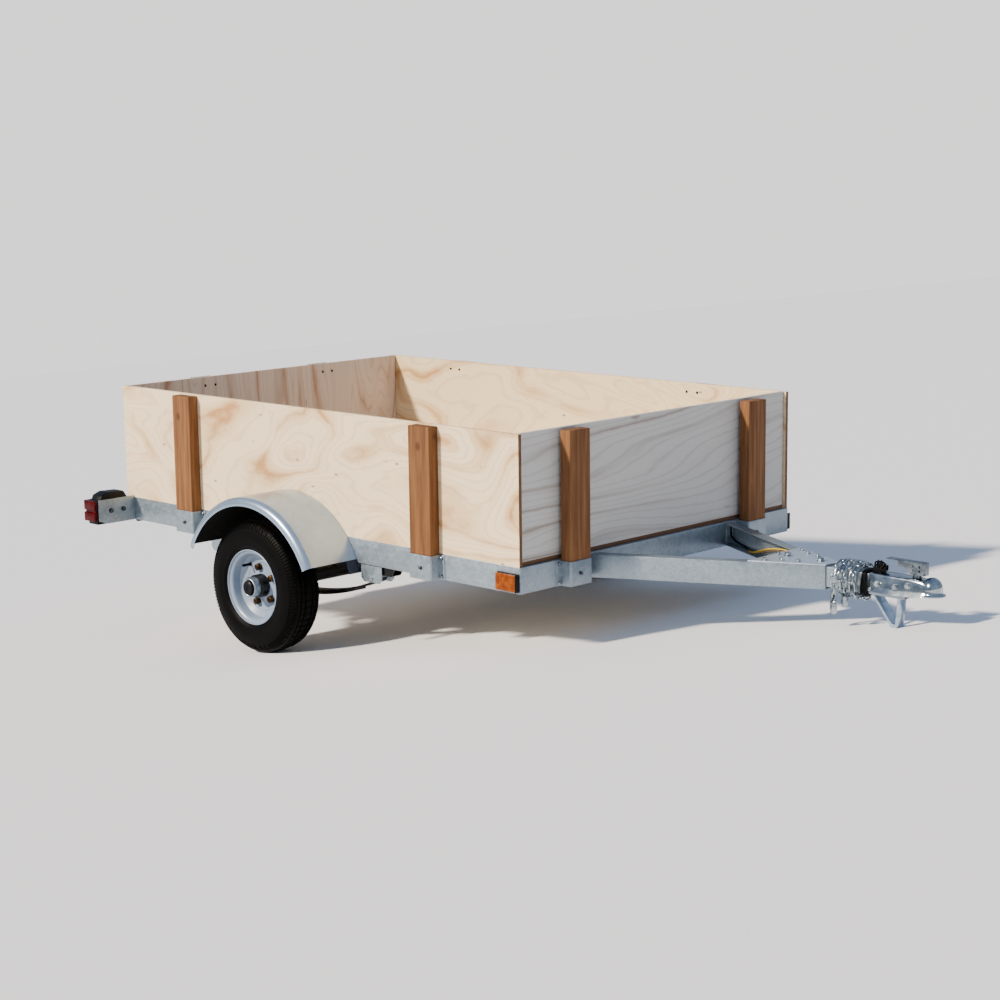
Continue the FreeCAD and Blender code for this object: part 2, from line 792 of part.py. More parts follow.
def mudguard():
    """Rolled steel guard: flat crown, rounded outer edge with a short lip, bent to an arc over the wheel."""
    x0 = half_width + guard_gap
    x1 = x0 + guard_width
    bead, sheet = guard_edge_radius, guard_sheet
    centre_x, centre_r = x1 - bead, guard_radius - bead
    shares = arc_shares(guard_edge_steps)
    skin = [(x0, guard_radius)] + [(centre_x + bead * out, centre_r + bead * up) for up, out in shares]
    skin.append((x1, centre_r - guard_edge_lip))
    inside = [(centre_x + (bead - sheet) * out, centre_r + (bead - sheet) * up) for up, out in reversed(shares)]
    inside.insert(0, (x1 - sheet, centre_r - guard_edge_lip))
    inside.append((x0, guard_radius - sheet))
    guard = lathe(skin + inside, guard_steps, guard_span, -guard_span / 2)
    guard.translate(Vector(0, guard_y, guard_centre_z))
    return guard


def guard_brackets():
    """Plates bolted inside the guard's two lower ends, each with a thick foot on the carrier's outer face."""
    pieces = []
    x_in = half_width + guard_gap
    x_out = half_width + guard_gap + guard_tab_width
    outer = (guard_radius - guard_sheet) * math.cos(math.radians(guard_span / guard_steps / 2)) - joint_play
    inner = outer - guard_tab_sheet
    end = math.radians(guard_span) / 2
    lap = end - guard_tab_lap / guard_radius
    for side in (-1, 1):
        def at(radius, angle, slide):
            y = radius * math.sin(angle) + slide * math.cos(end)
            z = radius * math.cos(angle) - slide * math.sin(end)
            return Vector(x_in, guard_y + side * y, guard_centre_z + z)
        drop = (guard_base_z + carrier_height) / math.sin(end)
        plate = prism([at(outer, lap, 0), at(outer, end, 0), at(outer, end, drop), at(inner, end, drop), at(inner, lap, 0)],
                      Vector(x_out - x_in, 0, 0))
        low = at(inner, end, drop)
        foot_y = sorted((low.y, low.y - side * guard_tab_width))
        foot = block(carrier_face_x + joint_play, x_in + guard_tab_sheet, foot_y[0], foot_y[1], low.z, -guard_sheet)
        pieces.append(fused([plate, foot]))
    return Part.makeCompound(pieces)


# Lamps

def lamp_bracket():
    """Galvanised plate that stands out from the rail's face, with a flange along its top."""
    x0, x1 = half_width, half_width + bracket_reach
    c = bracket_chamfer
    outline = [Vector(x0, bracket_y, 0), Vector(x1 - 3 * c, bracket_y, 0), Vector(x1, bracket_y, c),
               Vector(x1, bracket_y, bracket_height), Vector(x0, bracket_y, bracket_height)]
    plate = prism(outline, Vector(0, -bracket_sheet, 0))
    foot = block(x0, x0 + bracket_sheet, bracket_y - bracket_flange - bracket_sheet, bracket_y, 0, rail_height)
    return fused([plate, foot])


def lamp_front_y():
    return bracket_y - bracket_sheet


def tail_lamp():
    """Black lamp body bolted behind the bracket, with a sloped crown."""
    x0 = half_width + lamp_inset
    x1 = x0 + lamp_width
    y = lamp_front_y()
    c = lamp_corner
    outline = [Vector(x0, y, 0), Vector(x1, y, 0), Vector(x1, y, lamp_height - 2 * c),
               Vector(x1 - 2 * c, y, lamp_height), Vector(x0 + c, y, lamp_height), Vector(x0, y, lamp_height - c)]
    return prism(outline, Vector(0, -lamp_depth, 0))


def tail_lens():
    """Red lens over the lamp's rear face, wrapped round to its outer side."""
    x0 = half_width + lamp_inset
    x1 = x0 + lamp_width
    y = lamp_front_y()
    back = y - lamp_depth
    rear = block(x0 + lens_corner, x1, back - lens_depth, back, lens_base_z, lens_base_z + lens_height)
    side = block(x1, x1 + lens_wrap, back - lens_depth, y, lens_base_z, lens_base_z + lens_height)
    lens = fused([rear, side])
    rim_edges = [e for e in lens.Edges if abs(e.Length - lens_height) < joint_play and e.BoundBox.XMin > x1]
    return lens.makeFillet(lens_corner, rim_edges)


def side_marker():
    """Base and amber lens of the marker at the rail's front end."""
    x0 = half_width
    y1 = half_length
    y0 = y1 - marker_length - marker_corner
    z0, z1 = marker_base_z, marker_base_z + marker_height
    plate = block(x0, x0 + marker_base, y0, y1, z0, z1)
    end = block(x0, x0 + marker_base + marker_lens, y1 - marker_corner / 2, y1, z0, z1)
    lens = block(x0 + marker_base, x0 + marker_base + marker_lens, y0 + marker_corner / 2, y1 - marker_corner / 2,
                 z0 + marker_corner / 2, z1 - marker_corner / 2)
    edges = [e for e in lens.Edges if e.BoundBox.XMin > x0 + marker_base + joint_play]
    return fused([plate, end]), lens.makeFillet(marker_corner / 2, edges)


# Safety chains

def chain_link():
    """One link along X, its ring in the XZ plane: a six-sided ring of square bar."""
    half_inner = chain_pitch / 2 + chain_slack
    half_outer = half_inner + chain_wire
    tall_outer = chain_width / 2
    tall_inner = tall_outer - chain_wire
    share = chain_corner_share

    def ring(a, b):
        return [Vector(-a, 0, 0), Vector(-a * share, 0, b), Vector(a * share, 0, b), Vector(a, 0, 0),
                Vector(a * share, 0, -b), Vector(-a * share, 0, -b)]

    push = Vector(0, chain_wire, 0)
    link = prism(ring(half_outer, tall_outer), push).cut(prism(ring(half_inner, tall_inner), push))
    link.translate(Vector(0, -chain_wire / 2, 0))
    return link


wind_radius = math.hypot(tube_width / 2, tube_height / 2) + chain_width / 2 * math.cos(math.pi / 4) + 3 * joint_play


def link_at(model, place, along, outward, roll):
    """A link set on the winding: its length along the chain, rolled about it from the outward direction."""
    piece = model.copy()
    x = Vector(along).normalize()
    y = x.cross(outward).normalize()
    z = x.cross(y)
    turn = FreeCAD.Matrix(x.x, y.x, z.x, place.x, x.y, y.y, z.y, place.y, x.z, y.z, z.z, place.z, 0, 0, 0, 1)
    piece.rotate(Vector(), Vector(1, 0, 0), roll)
    piece.transformShape(turn)
    return piece


def chain_places(first_y, hanging):
    """Where each link of a wound chain lies, first the ones that hang, then round and round the tube."""
    step = 2 * math.asin(chain_pitch / 2 / wind_radius)
    places = []
    for i in range(hanging, 0, -1):
        places.append((Vector(wind_radius, first_y, tube_mid_z - i * chain_pitch), Vector(0, 0, 1), Vector(1, 0, 0)))
    for i in range(int(chain_turns * 2 * math.pi / step) - chain_short):
        angle = i * step
        outward = Vector(math.cos(angle), 0, math.sin(angle))
        along = Vector(-math.sin(angle), chain_lead / (2 * math.pi * wind_radius), math.cos(angle))
        place = outward * wind_radius + Vector(0, first_y + chain_lead * angle / (2 * math.pi), tube_mid_z)
        places.append((place, along, outward))
    return places


first_chain = chain_places(arm_tip_y + chain_gap, 1)
second_chain = chain_places(arm_tip_y + chain_gap + chain_turns * chain_lead, 0)


def roll_of(i):
    """Each link lies square to its neighbours."""
    return -45 if i % 2 else 45


def chains():
    model = chain_link()
    links = []
    for places in (first_chain, second_chain):
        for i, (place, along, outward) in enumerate(places):
            links.append(link_at(model, place, along, outward, roll_of(i)))
    return Part.makeCompound(links)


def slip_hook():
    """Forged hook in the XZ plane below a link at the origin: a clevis with its pin, a shank and an open bend."""
    top = -(chain_pitch / 2 + chain_slack + chain_wire + joint_play)
    wide = hook_width / 2
    low = top - hook_length + wide
    inner = wide - hook_bar
    shares = arc_shares(hook_bend_steps)
    outside = [Vector(low - wide * up, 0, wide * out) for out, up in shares]
    outside += [Vector(low - wide * up, 0, -wide * out) for out, up in reversed(shares[:-1])]
    inside = [Vector(low - inner * up, 0, -inner * out) for out, up in shares]
    inside += [Vector(low - inner * up, 0, inner * out) for out, up in reversed(shares[:-1])]
    shank = [Vector(top, 0, -hook_bar / 2), Vector(top, 0, hook_bar / 2)]
    outline = shank + outside + [Vector(low + hook_tip, 0, -wide), Vector(low + hook_tip, 0, -inner)] + inside
    body = prism(outline, Vector(0, hook_thickness, 0))
    body.translate(Vector(0, -hook_thickness / 2, 0))
    cheek_in = chain_wire / 2 + joint_play
    cheek = block(top - hook_bar, hook_pin_radius - hook_pin_place + hook_cheek, cheek_in, cheek_in + hook_cheek,
                  -hook_bar / 2, hook_bar / 2)
    other_cheek = cheek.mirror(Vector(), Vector(0, 1, 0))
    pin = rod(Vector(-hook_pin_place, -cheek_in - over / 2, 0), Vector(-hook_pin_place, cheek_in + over / 2, 0), hook_pin_radius)
    return fused([body, cheek, other_cheek, pin])


def hooks():
    """A slip hook on the free end of each chain."""
    model = slip_hook()
    placed = []
    for places in (first_chain, second_chain):
        place, along, outward = places[0]
        placed.append(link_at(model, place, along, outward, roll_of(0)))
    return Part.makeCompound(placed)


# Lighting cable

def cable_ring(rear_y):
    """One turn of the cable round the tongue tube, with cut-off corners."""
    near_x, near_z = tube_width / 2 + joint_play, tube_height / 2 + joint_play
    outer = block(-near_x - cable_width, near_x + cable_width, rear_y, rear_y + cable_width,
                  tube_mid_z - near_z - cable_width, tube_mid_z + near_z + cable_width)
    corners = [e for e in outer.Edges if abs(e.Length - cable_width) < joint_play]
    inner = block(-near_x, near_x, rear_y - over, rear_y + cable_width + over, tube_mid_z - near_z, tube_mid_z + near_z)
    return outer.makeChamfer(cable_corner, corners).cut(inner)


def cable_wrap():
    """The cable put away for transport: wound round the tube just behind the coupler."""
    rings = [cable_ring(coupler_rear_y - joint_play - (i + 1) * cable_width) for i in range(cable_turns)]
    return fused(rings)


def cable_plug():
    """Flat four-way plug that lies on the coupler's rear end, its pins up."""
    y0 = coupler_rear_y + joint_play
    z0 = coupler_top + joint_play
    body = block(-plug_width / 2, plug_width / 2, y0, y0 + plug_length, z0, z0 + plug_thickness)
    pitch = plug_width / plug_pin_count
    pins = []
    for i in range(plug_pin_count):
        x = -plug_width / 2 + (i + 0.5) * pitch
        y = y0 + (i + 0.5) * plug_length / plug_pin_count
        pins.append(block(x - plug_pin_width / 2, x + plug_pin_width / 2, y - plug_pin_width / 2, y + plug_pin_width / 2,
                          z0, z0 + plug_thickness + plug_pin_length))
    return fused([body] + pins)


# Parking pose: tipped about the axle line until the foot and the tyres stand on one floor

def park_angle():
    """Nose-down angle at which the foot's lowest edge is level with the tyres' lowest point."""
    ahead = foot_low_y + foot_bend - axle_y
    above = foot_low_z - axle_z
    reach = math.hypot(ahead, above)
    return math.degrees(math.asin(tyre_radius / reach) + math.atan2(above, ahead))


def park(nodes):
    """Tip every node about the axle, then put the origin under the middle of the whole trailer."""
    for shape in nodes.values():
        shape.rotate(Vector(0, axle_y, axle_z), Vector(1, 0, 0), -park_angle())
    whole = Part.makeCompound(list(nodes.values())).optimalBoundingBox(False)
    shift = Vector(-whole.Center.x, -whole.Center.y, -whole.ZMin)
    for shape in nodes.values():
        shape.translate(shift)
    return shift


def build():
    nodes = {}
    nodes["side_rail_right"] = side_rail()
    nodes["front_rail"] = end_rail()
    nodes["rear_rail"] = end_rail().mirror(Vector(), Vector(0, 1, 0))
    nodes["cross_members"] = cross_members()
    nodes["deck"] = deck()
    nodes["side_panel_right"] = side_panel()
    nodes["front_panel"] = front_panel()
    nodes["rear_panel"] = front_panel().mirror(Vector(), Vector(0, 1, 0))
    for group in ("right", "left", "front", "rear"):
        nodes["stakes_" + group] = at_stakes(stake(), group)
        nodes["pockets_" + group] = at_stakes(pocket(), group)
    nodes["tongue_arm_right"] = tongue_arm()
    nodes["tongue_tube"] = tongue_tube()
    nodes["tongue_gusset"] = gusset()
    nodes["coupler_body"] = coupler_body()
    nodes["coupler_clamp"] = coupler_clamp()
    nodes["coupler_latch"] = coupler_latch()
    nodes["tongue_foot"] = tongue_foot()
    nodes["axle_beam"] = axle_beam()
    nodes["tyre_right"] = tyre()
    nodes["rim_right"] = rim()
    hub_body, nuts = hub()
    nodes["hub_right"] = hub_body
    nodes["lug_nuts_right"] = nuts
    nodes["leaf_spring_right"] = spring()
    clamp, pad = spring_clamp()
    nodes["spring_clamps"] = both_sides(clamp)
    nodes["axle_pads"] = both_sides(pad)
    nodes["spring_carrier_right"] = spring_carrier()
    nodes["spring_hangers_right"] = spring_hangers()
    nodes["mudguard_right"] = mudguard()
    nodes["mudguard_brackets"] = both_sides(guard_brackets())
    nodes["lamp_brackets"] = both_sides(lamp_bracket())
    nodes["tail_lamps"] = both_sides(tail_lamp())
    nodes["tail_lenses"] = both_sides(tail_lens())
    base, lens = side_marker()
    nodes["marker_bases"] = both_sides(base)
    nodes["marker_lenses"] = both_sides(lens)
    nodes["safety_chains"] = chains()
    nodes["chain_hooks"] = hooks()
    nodes["cable_wrap"] = cable_wrap()
    nodes["cable_plug"] = cable_plug()
    for name in [n for n in nodes if n.endswith("_right") and n not in ("stakes_right", "pockets_right")]:
        nodes[name.replace("_right", "_left")] = other_side(nodes[name])
    return nodes


def main():
    os.makedirs("parts", exist_ok=True)
    nodes = build()
    park(nodes)
    for name, shape in nodes.items():
        shape.exportStep("parts/" + name + ".step")
    print(len(nodes), "nodes, parked at", round(park_angle(), 3), "degrees")


main()
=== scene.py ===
import json
import math
import bpy
from mathutils import Matrix, Vector


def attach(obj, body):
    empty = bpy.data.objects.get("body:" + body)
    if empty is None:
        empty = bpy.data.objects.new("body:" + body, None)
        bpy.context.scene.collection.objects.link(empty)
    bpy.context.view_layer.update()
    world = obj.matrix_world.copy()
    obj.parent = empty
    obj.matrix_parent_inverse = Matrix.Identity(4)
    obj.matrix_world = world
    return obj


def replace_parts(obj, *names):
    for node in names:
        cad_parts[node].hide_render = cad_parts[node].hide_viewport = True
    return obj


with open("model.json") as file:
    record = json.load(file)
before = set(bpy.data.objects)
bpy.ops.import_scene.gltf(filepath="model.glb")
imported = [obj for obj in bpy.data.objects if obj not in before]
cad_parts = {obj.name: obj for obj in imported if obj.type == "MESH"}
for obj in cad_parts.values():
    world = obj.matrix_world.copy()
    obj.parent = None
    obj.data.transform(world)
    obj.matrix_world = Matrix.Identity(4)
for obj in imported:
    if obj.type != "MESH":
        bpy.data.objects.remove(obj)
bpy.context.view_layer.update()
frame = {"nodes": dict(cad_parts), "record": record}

bpy.ops.object.select_all(action="DESELECT")

# The trailer is drawn level, in millimetres: X to its right, Y forward, Z up, with the origin on the
# centre line, half way along the box, at the height of the rails' lower edge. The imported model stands
# parked, tipped about its axle on to its tongue foot, so each piece is settled into that pose at the end.
mm = 0.001
axle_y, axle_z = -57, -90
tyre_radius = 207.5
foot_low_y, foot_low_z, foot_bend = 1744.5, -72, 9
half_width, half_length = 619, 914.5
rail_top, ply = 76, 12
rail_end_y = half_length + 3
side_stake_y, front_stake_x, rear_stake_x = 554, 409, 268
wheel_middle_x = half_width + 115

ahead, above = foot_low_y + foot_bend - axle_y, foot_low_z - axle_z
park_angle = math.asin(tyre_radius / math.hypot(ahead, above)) + math.atan2(above, ahead)
deck_middle = Vector(frame["record"]["mounts"][0]["pos_m"])
tip = Matrix.Rotation(-park_angle, 4, "X")
deck_level = Vector((0, 0, rail_top + ply)) * mm
parked = Matrix.Translation(deck_middle) @ tip @ Matrix.Translation(-deck_level)
levelled = parked.inverted()


# Materials

def colour(hex_value):
    """An sRGB hex colour as linear RGBA."""
    parts = [int(hex_value[i:i + 2], 16) / 255 for i in (1, 3, 5)]
    return (*[c / 12.92 if c <= 0.04045 else ((c + 0.055) / 1.055) ** 2.4 for c in parts], 1)


def fed(tree, node, inputs):
    """A node's inputs set to values, or linked to sockets or to other nodes' first outputs."""
    for name, value in inputs.items():
        if isinstance(value, bpy.types.Node):
            value = value.outputs[0]
        if isinstance(value, bpy.types.NodeSocket):
            tree.links.new(value, node.inputs[name])
        else:
            node.inputs[name].default_value = value
    return node


def add(tree, kind, inputs=None, stops=(), **settings):
    """A node with its settings, its input values or links, and its colour stops if it has any."""
    made = tree.nodes.new("ShaderNode" + kind)
    for name, value in settings.items():
        setattr(made, name, value)
    if stops:
        elements = made.color_ramp.elements
        while len(elements) < len(stops):
            elements.new(1)
        for element, (place, hex_value) in zip(elements, stops):
            element.position, element.color = place, colour(hex_value)
    return fed(tree, made, inputs or {})


def level_place(tree, stretch=(1, 1, 1)):
    """Object coordinates turned back from the parked pose and stretched along the level axes."""
    coords = add(tree, "TexCoord")
    level = add(tree, "Mapping", {"Vector": coords.outputs["Object"], "Location": levelled.to_translation(),
                                  "Rotation": (park_angle, 0, 0)})
    return add(tree, "Mapping", {"Vector": level, "Scale": stretch})


def new_material(name, rough, metallic=0.0, shine=0.5):
    """A material, its node tree and its shader, with constants set on the shader's own sockets."""
    made = bpy.data.materials.new(name)
    made.use_nodes = True
    tree = made.node_tree
    surface = {"Roughness": rough, "Metallic": metallic, "Specular IOR Level": shine}
    return made, tree, fed(tree, tree.nodes["Principled BSDF"], surface)


def grained_bump(tree, shader, height, strength, distance):
    """A pattern's height felt by the light as fine relief."""
    fed(tree, shader, {"Normal": add(tree, "Bump", {"Height": height, "Strength": strength, "Distance": distance})})


def galvanised(name, dull, bright, cell_mm, rough):
    """Hot-dip galvanised steel: dull zinc crystals a few millimetres across give a faint, broken sheen."""
    made, tree, shader = new_material(name, rough, metallic=0.7)
    place = level_place(tree)
    cells = add(tree, "TexVoronoi", {"Vector": place, "Scale": 1 / (cell_mm * mm)})
    patches = add(tree, "TexNoise", {"Vector": place, "Scale": 9.0, "Detail": 4.0, "Roughness": 0.6})
    streaks = add(tree, "TexNoise", {"Vector": level_place(tree, (60, 3, 60)), "Scale": 2.0, "Detail": 3.0})
    mixed = add(tree, "Math", {0: cells.outputs["Color"], 1: 0.35}, operation="MULTIPLY")
    for pattern, share in ((patches, 0.55), (streaks, 0.25)):
        mixed = add(tree, "Math", {0: pattern, 1: share, 2: mixed}, operation="MULTIPLY_ADD")
    tone = add(tree, "ValToRGB", {0: mixed}, stops=[(0.3, dull), (0.85, bright)])
    gloss = add(tree, "MapRange", {0: cells.outputs["Color"], 3: rough - 0.06, 4: rough + 0.1})
    fed(tree, shader, {"Base Color": tone, "Roughness": gloss})
    grained_bump(tree, shader, patches, 0.06, 0.001)
    return made


def plated(name, low, high, rough):
    """Bright zinc plate: almost a mirror, clouded blue and straw where the bath dried."""
    made, tree, shader = new_material(name, rough, metallic=1.0)
    clouds = add(tree, "TexNoise", {"Vector": level_place(tree), "Scale": 45.0, "Detail": 3.0})
    tone = add(tree, "ValToRGB", {0: clouds}, stops=[(0.35, low), (0.65, high)])
    scuffs = add(tree, "TexNoise", {"Vector": level_place(tree), "Scale": 400.0, "Detail": 2.0})
    gloss = add(tree, "MapRange", {0: scuffs, 3: rough - 0.05, 4: rough + 0.12})
    fed(tree, shader, {"Base Color": tone, "Roughness": gloss})
    return made


# how many broad and how many fine growth lines the figure is cut into
wide_rings, fine_rings = 17.0, 58.0


def plywood(name, stretch, tones, seed, contrast, line_width, edge_axis, run=(0, 0, 0), knot_at=None):
    """Rotary-cut softwood plywood, bare: pale early wood with tan late-wood lines that wander in loops,
    a few pin knots, and dark glued plies on the sawn ends. The stretch is how often the figure comes in a
    metre along X, Y and Z: 9 is a loop 110 mm across the sheet, 1.6 one 625 mm along it. A run adds rings
    to a metre in one direction, which pulls the loops out to nearly straight lines."""
    made, tree, shader = new_material(name, 0.62, shine=0.3)
    place = level_place(tree, stretch)
    shifted = add(tree, "Mapping", {"Vector": place, "Location": (seed, seed * 0.7, seed * 0.3)})
    field = add(tree, "TexNoise", {"Vector": shifted, "Scale": 1.0, "Detail": 1.6, "Roughness": 0.45,
                                   "Distortion": 0.5})
    wobble = add(tree, "TexNoise", {"Vector": shifted, "Scale": 9.0, "Detail": 4.0, "Roughness": 0.65})
    height = add(tree, "Math", {0: wobble, 1: 0.035, 2: field}, operation="MULTIPLY_ADD")
    across = add(tree, "VectorMath", {0: level_place(tree), 1: run}, operation="DOT_PRODUCT")
    height = add(tree, "Math", {0: height, 1: across.outputs["Value"]}, operation="ADD")
    waves = []
    for rings in (wide_rings, fine_rings):
        wave = add(tree, "Math", {0: height, 1: rings}, operation="MULTIPLY")
        waves.append(add(tree, "Math", {0: wave, 1: 1.0}, operation="PINGPONG"))
    patch = add(tree, "TexNoise", {"Vector": shifted, "Scale": 2.3, "Detail": 2.0})
    amount = add(tree, "MapRange", {0: patch, 1: 0.38, 2: 0.66, 3: 0.05, 4: contrast})
    base = add(tree, "ValToRGB", {0: waves[0]},
               stops=[(0, tones[2]), (line_width, tones[1]), (2.7 * line_width, tones[0])])
    face = add(tree, "Mix", {0: amount, 6: colour(tones[0]), 7: base}, data_type="RGBA")
    lines = add(tree, "MapRange", {0: waves[1], 1: 0.0, 2: 0.35, 3: 0.28 * contrast, 4: 0.0})
    face = add(tree, "Mix", {0: lines, 6: face.outputs[2], 7: colour(tones[2])}, data_type="RGBA")
    pores = add(tree, "TexNoise", {"Vector": shifted, "Scale": 60.0, "Detail": 3.0, "Roughness": 0.7})
    shade = add(tree, "MapRange", {0: pores, 3: 0.93, 4: 1.05})
    face = add(tree, "Mix", {0: 1.0, 6: face.outputs[2], 7: shade}, data_type="RGBA", blend_type="MULTIPLY")
    knots = add(tree, "TexVoronoi", {"Vector": shifted, "Scale": 5.0, "Randomness": 1.0})
    spot = add(tree, "MapRange", {0: knots.outputs["Distance"], 1: 0.03, 2: 0.08, 3: 0.8, 4: 0.0})
    face = add(tree, "Mix", {0: spot, 6: face.outputs[2], 7: colour("#7a5334")}, data_type="RGBA")
    if knot_at:
        # one large dark knot, 33 by 45 mm, with a ragged edge
        level = level_place(tree)
        moved = add(tree, "VectorMath", {0: level, 1: Vector(knot_at) * mm}, operation="SUBTRACT")
        near = add(tree, "Mapping", {"Vector": moved, "Rotation": (-0.45, 0, 0), "Scale": (30, 85, 22)})
        rough = add(tree, "TexNoise", {"Vector": level, "Scale": 60.0, "Detail": 3.0})
        size = add(tree, "VectorMath", {0: near}, operation="LENGTH")
        edge = add(tree, "Math", {0: rough, 1: 0.9, 2: size.outputs["Value"]}, operation="MULTIPLY_ADD")
        stain = add(tree, "MapRange", {0: edge, 1: 0.9, 2: 1.35, 3: 0.85, 4: 0.0})
        face = add(tree, "Mix", {0: stain, 6: face.outputs[2], 7: colour("#6b3d22")}, data_type="RGBA")
    # sawn ends: dark end grain between thin pale plies
    normal = add(tree, "Mapping", {"Vector": add(tree, "TexCoord").outputs["Normal"],
                                   "Rotation": (park_angle, 0, 0)})
    axes = add(tree, "SeparateXYZ", {0: normal})
    along = add(tree, "Math", {0: axes.outputs[edge_axis]}, operation="ABSOLUTE")
    on_end = add(tree, "Math", {0: along, 1: 0.7}, operation="GREATER_THAN")
    grain = add(tree, "TexNoise", {"Vector": level_place(tree, (900, 900, 25)), "Scale": 1.0, "Detail": 3.0})
    end = add(tree, "ValToRGB", {0: grain}, stops=[(0.3, "#432b1c"), (0.55, "#6a4a32"), (0.8, "#957050")])
    face = add(tree, "Mix", {0: on_end, 6: face.outputs[2], 7: end}, data_type="RGBA")
    fed(tree, shader, {"Base Color": face.outputs[2]})
    grained_bump(tree, shader, pores, 0.12, 0.0006)
    return made


def stake_timber():
    """Sawn reddish-brown softwood: straight grain up the stake, darker late wood, small round knots."""
    made, tree, shader = new_material("sawn_brown_timber", 0.72, shine=0.25)
    long_grain = level_place(tree, (1, 1, 0.05))
    coarse = add(tree, "TexNoise", {"Vector": long_grain, "Scale": 75.0, "Detail": 5.0, "Roughness": 0.62,
                                    "Distortion": 0.3})
    tone = add(tree, "ValToRGB", {0: coarse},
               stops=[(0.25, "#54341f"), (0.45, "#6e4729"), (0.6, "#815833"), (0.8, "#906742")])
    by_stake = add(tree, "TexNoise", {"Vector": level_place(tree, (1, 1, 0.3)), "Scale": 4.0, "Detail": 1.0})
    shade = add(tree, "MapRange", {0: by_stake, 1: 0.3, 2: 0.7, 3: 0.84, 4: 1.08})
    face = add(tree, "Mix", {0: 1.0, 6: tone, 7: shade}, data_type="RGBA", blend_type="MULTIPLY")
    knots = add(tree, "TexVoronoi", {"Vector": level_place(tree, (1, 1, 0.8)), "Scale": 9.0})
    spot = add(tree, "MapRange", {0: knots.outputs["Distance"], 1: 0.05, 2: 0.12, 3: 0.8, 4: 0.0})
    face = add(tree, "Mix", {0: spot, 6: face.outputs[2], 7: colour("#4a2a18")}, data_type="RGBA")
    fed(tree, shader, {"Base Color": face.outputs[2]})
    grained_bump(tree, shader, coarse, 0.25, 0.0008)
    return made


def plain_finish(name, tint, patch_tint, patch_scale, rough, bump=0.0, metallic=0.0, shine=0.5):
    """A finish of one colour with faint patches of wear or dust, so many to a metre. Its fine relief, 1.4 mm
    from top to top, is coarser than the real one so that it shows."""
    made, tree, shader = new_material(name, rough, metallic, shine)
    place = level_place(tree)
    patches = add(tree, "TexNoise", {"Vector": place, "Scale": patch_scale, "Detail": 4.0, "Roughness": 0.6})
    tone = add(tree, "ValToRGB", {0: patches}, stops=[(0.4, tint), (0.75, patch_tint)])
    gloss = add(tree, "MapRange", {0: patches, 3: max(rough - 0.08, 0.03), 4: rough + 0.12})
    fed(tree, shader, {"Base Color": tone, "Roughness": gloss})
    if bump:
        fine = add(tree, "TexNoise", {"Vector": place, "Scale": 700.0, "Detail": 2.0})
        grained_bump(tree, shader, fine, bump, 0.0005)
    return made


# Hot-dip galvanised steel: matt blue-grey, spangled on the rails; the tongue's is smoother and its plate palest
galvanised_rail = galvanised("hot_dip_galvanised_rail", "#7b8894", "#9dabb5", 9.0, 0.42)
galvanised_arm = galvanised("satin_galvanised_arm", "#7f8d98", "#9dabb5", 6.0, 0.36)
galvanised_plate = galvanised("satin_galvanised_plate", "#b4c3d0", "#d0dbe5", 6.0, 0.32)
# Electroplated zinc: a cloudy mirror on coupler, chains and bolts, greyer on the latch, bluer on the bent strap
bright_zinc = plated("bright_zinc_plate", "#8794a0", "#bfc6c7", 0.13)
latch_zinc = plated("brushed_zinc_latch", "#505a62", "#858f95", 0.2)
strap_zinc = plated("zinc_plated_strap", "#9fb3c8", "#cfd9e2", 0.2)
# Weathered zinc on screws: dark and dull, so that a small head reads against the pale pocket; on the lamp bolts its
# darkness is painted shade
dark_zinc_and_painted_shade = plain_finish("dark_bolt_zinc_and_painted_shade", "#3b424a", "#59626c", 60.0, 0.45, metallic=0.8)
# Chromated nuts: brown with a bronze glint
yellow_zinc = plated("bronzed_nuts", "#241a11", "#5c4226", 0.26)
# Rolled sheet steel: a smooth satin skin with one broad highlight; inside it a flat black that is painted shade,
# standing for the shade under the guard
rolled_steel = plain_finish("satin_rolled_steel", "#9cb0c6", "#b4c6d9", 9.0, 0.27, metallic=0.75)
painted_shade_black = plain_finish("painted_shade_black", "#030304", "#0a0b0d", 20.0, 0.75, 0.15, shine=0.1)
# Pine plywood: cream and tan loops on the sides; straight grey-brown lines in front, their grey cool cast painted
# shade; pinker ones behind, their pink cast painted shade
side_ply = plywood("pine_plywood_sides", (9.0, 1.6, 3.4), ("#efd9b2", "#ddba8a", "#ba8a58"), 3.1, 1.0, 0.22, "Y",
                   knot_at=(619.0, -628.0, 84.0))
# painted shade: the front sheet's tones are greyed and cooled to plywood seen in shade
shade_greyed_front_ply = plywood("pine_plywood_front_in_painted_shade", (0.5, 9.0, 1.8), ("#c5c4c0", "#aca399", "#735e50"), 7.7, 0.8, 0.13, "X",
                    run=(0.12, 0, 1.9))
# painted shade: the rear sheet's wood tones are pinkened to the tint of plywood in the box's shade
pink_shaded_rear_ply = plywood("pine_plywood_rear_in_painted_shade", (5.5, 9.0, 0.9), ("#d8c8bb", "#c5ab96", "#9c7258"), 12.4, 0.9, 0.22, "X",
                   run=(1.2, 0, 0))
deck_ply = plywood("pine_plywood_floor", (4.2, 1.5, 9.0), ("#e6d4b4", "#d9c09a", "#b9925f"), 21.0, 0.8, 0.2, "Y")
brown_timber = stake_timber()
# Moulded tyre rubber: near black, with a soft sheen on the wall only
tyre_rubber = plain_finish("tyre_rubber", "#010101", "#040404", 14.0, 0.5, 0.04, shine=0.06)
# Baked enamels: silver-white and glossy on the rims, their tones darkened to blue-grey as painted shade; black on
# axle and springs, dark blue on the guard brackets
shade_darkened_rim_enamel = plain_finish("rim_enamel_darkened_by_painted_shade", "#8494a9", "#76879b", 30.0, 0.3)
black_enamel = plain_finish("black_axle_enamel", "#040405", "#0a0b0d", 25.0, 0.35, 0.05, shine=0.3)
navy_enamel = plain_finish("navy_bracket_enamel", "#121a2a", "#1c2538", 25.0, 0.35)
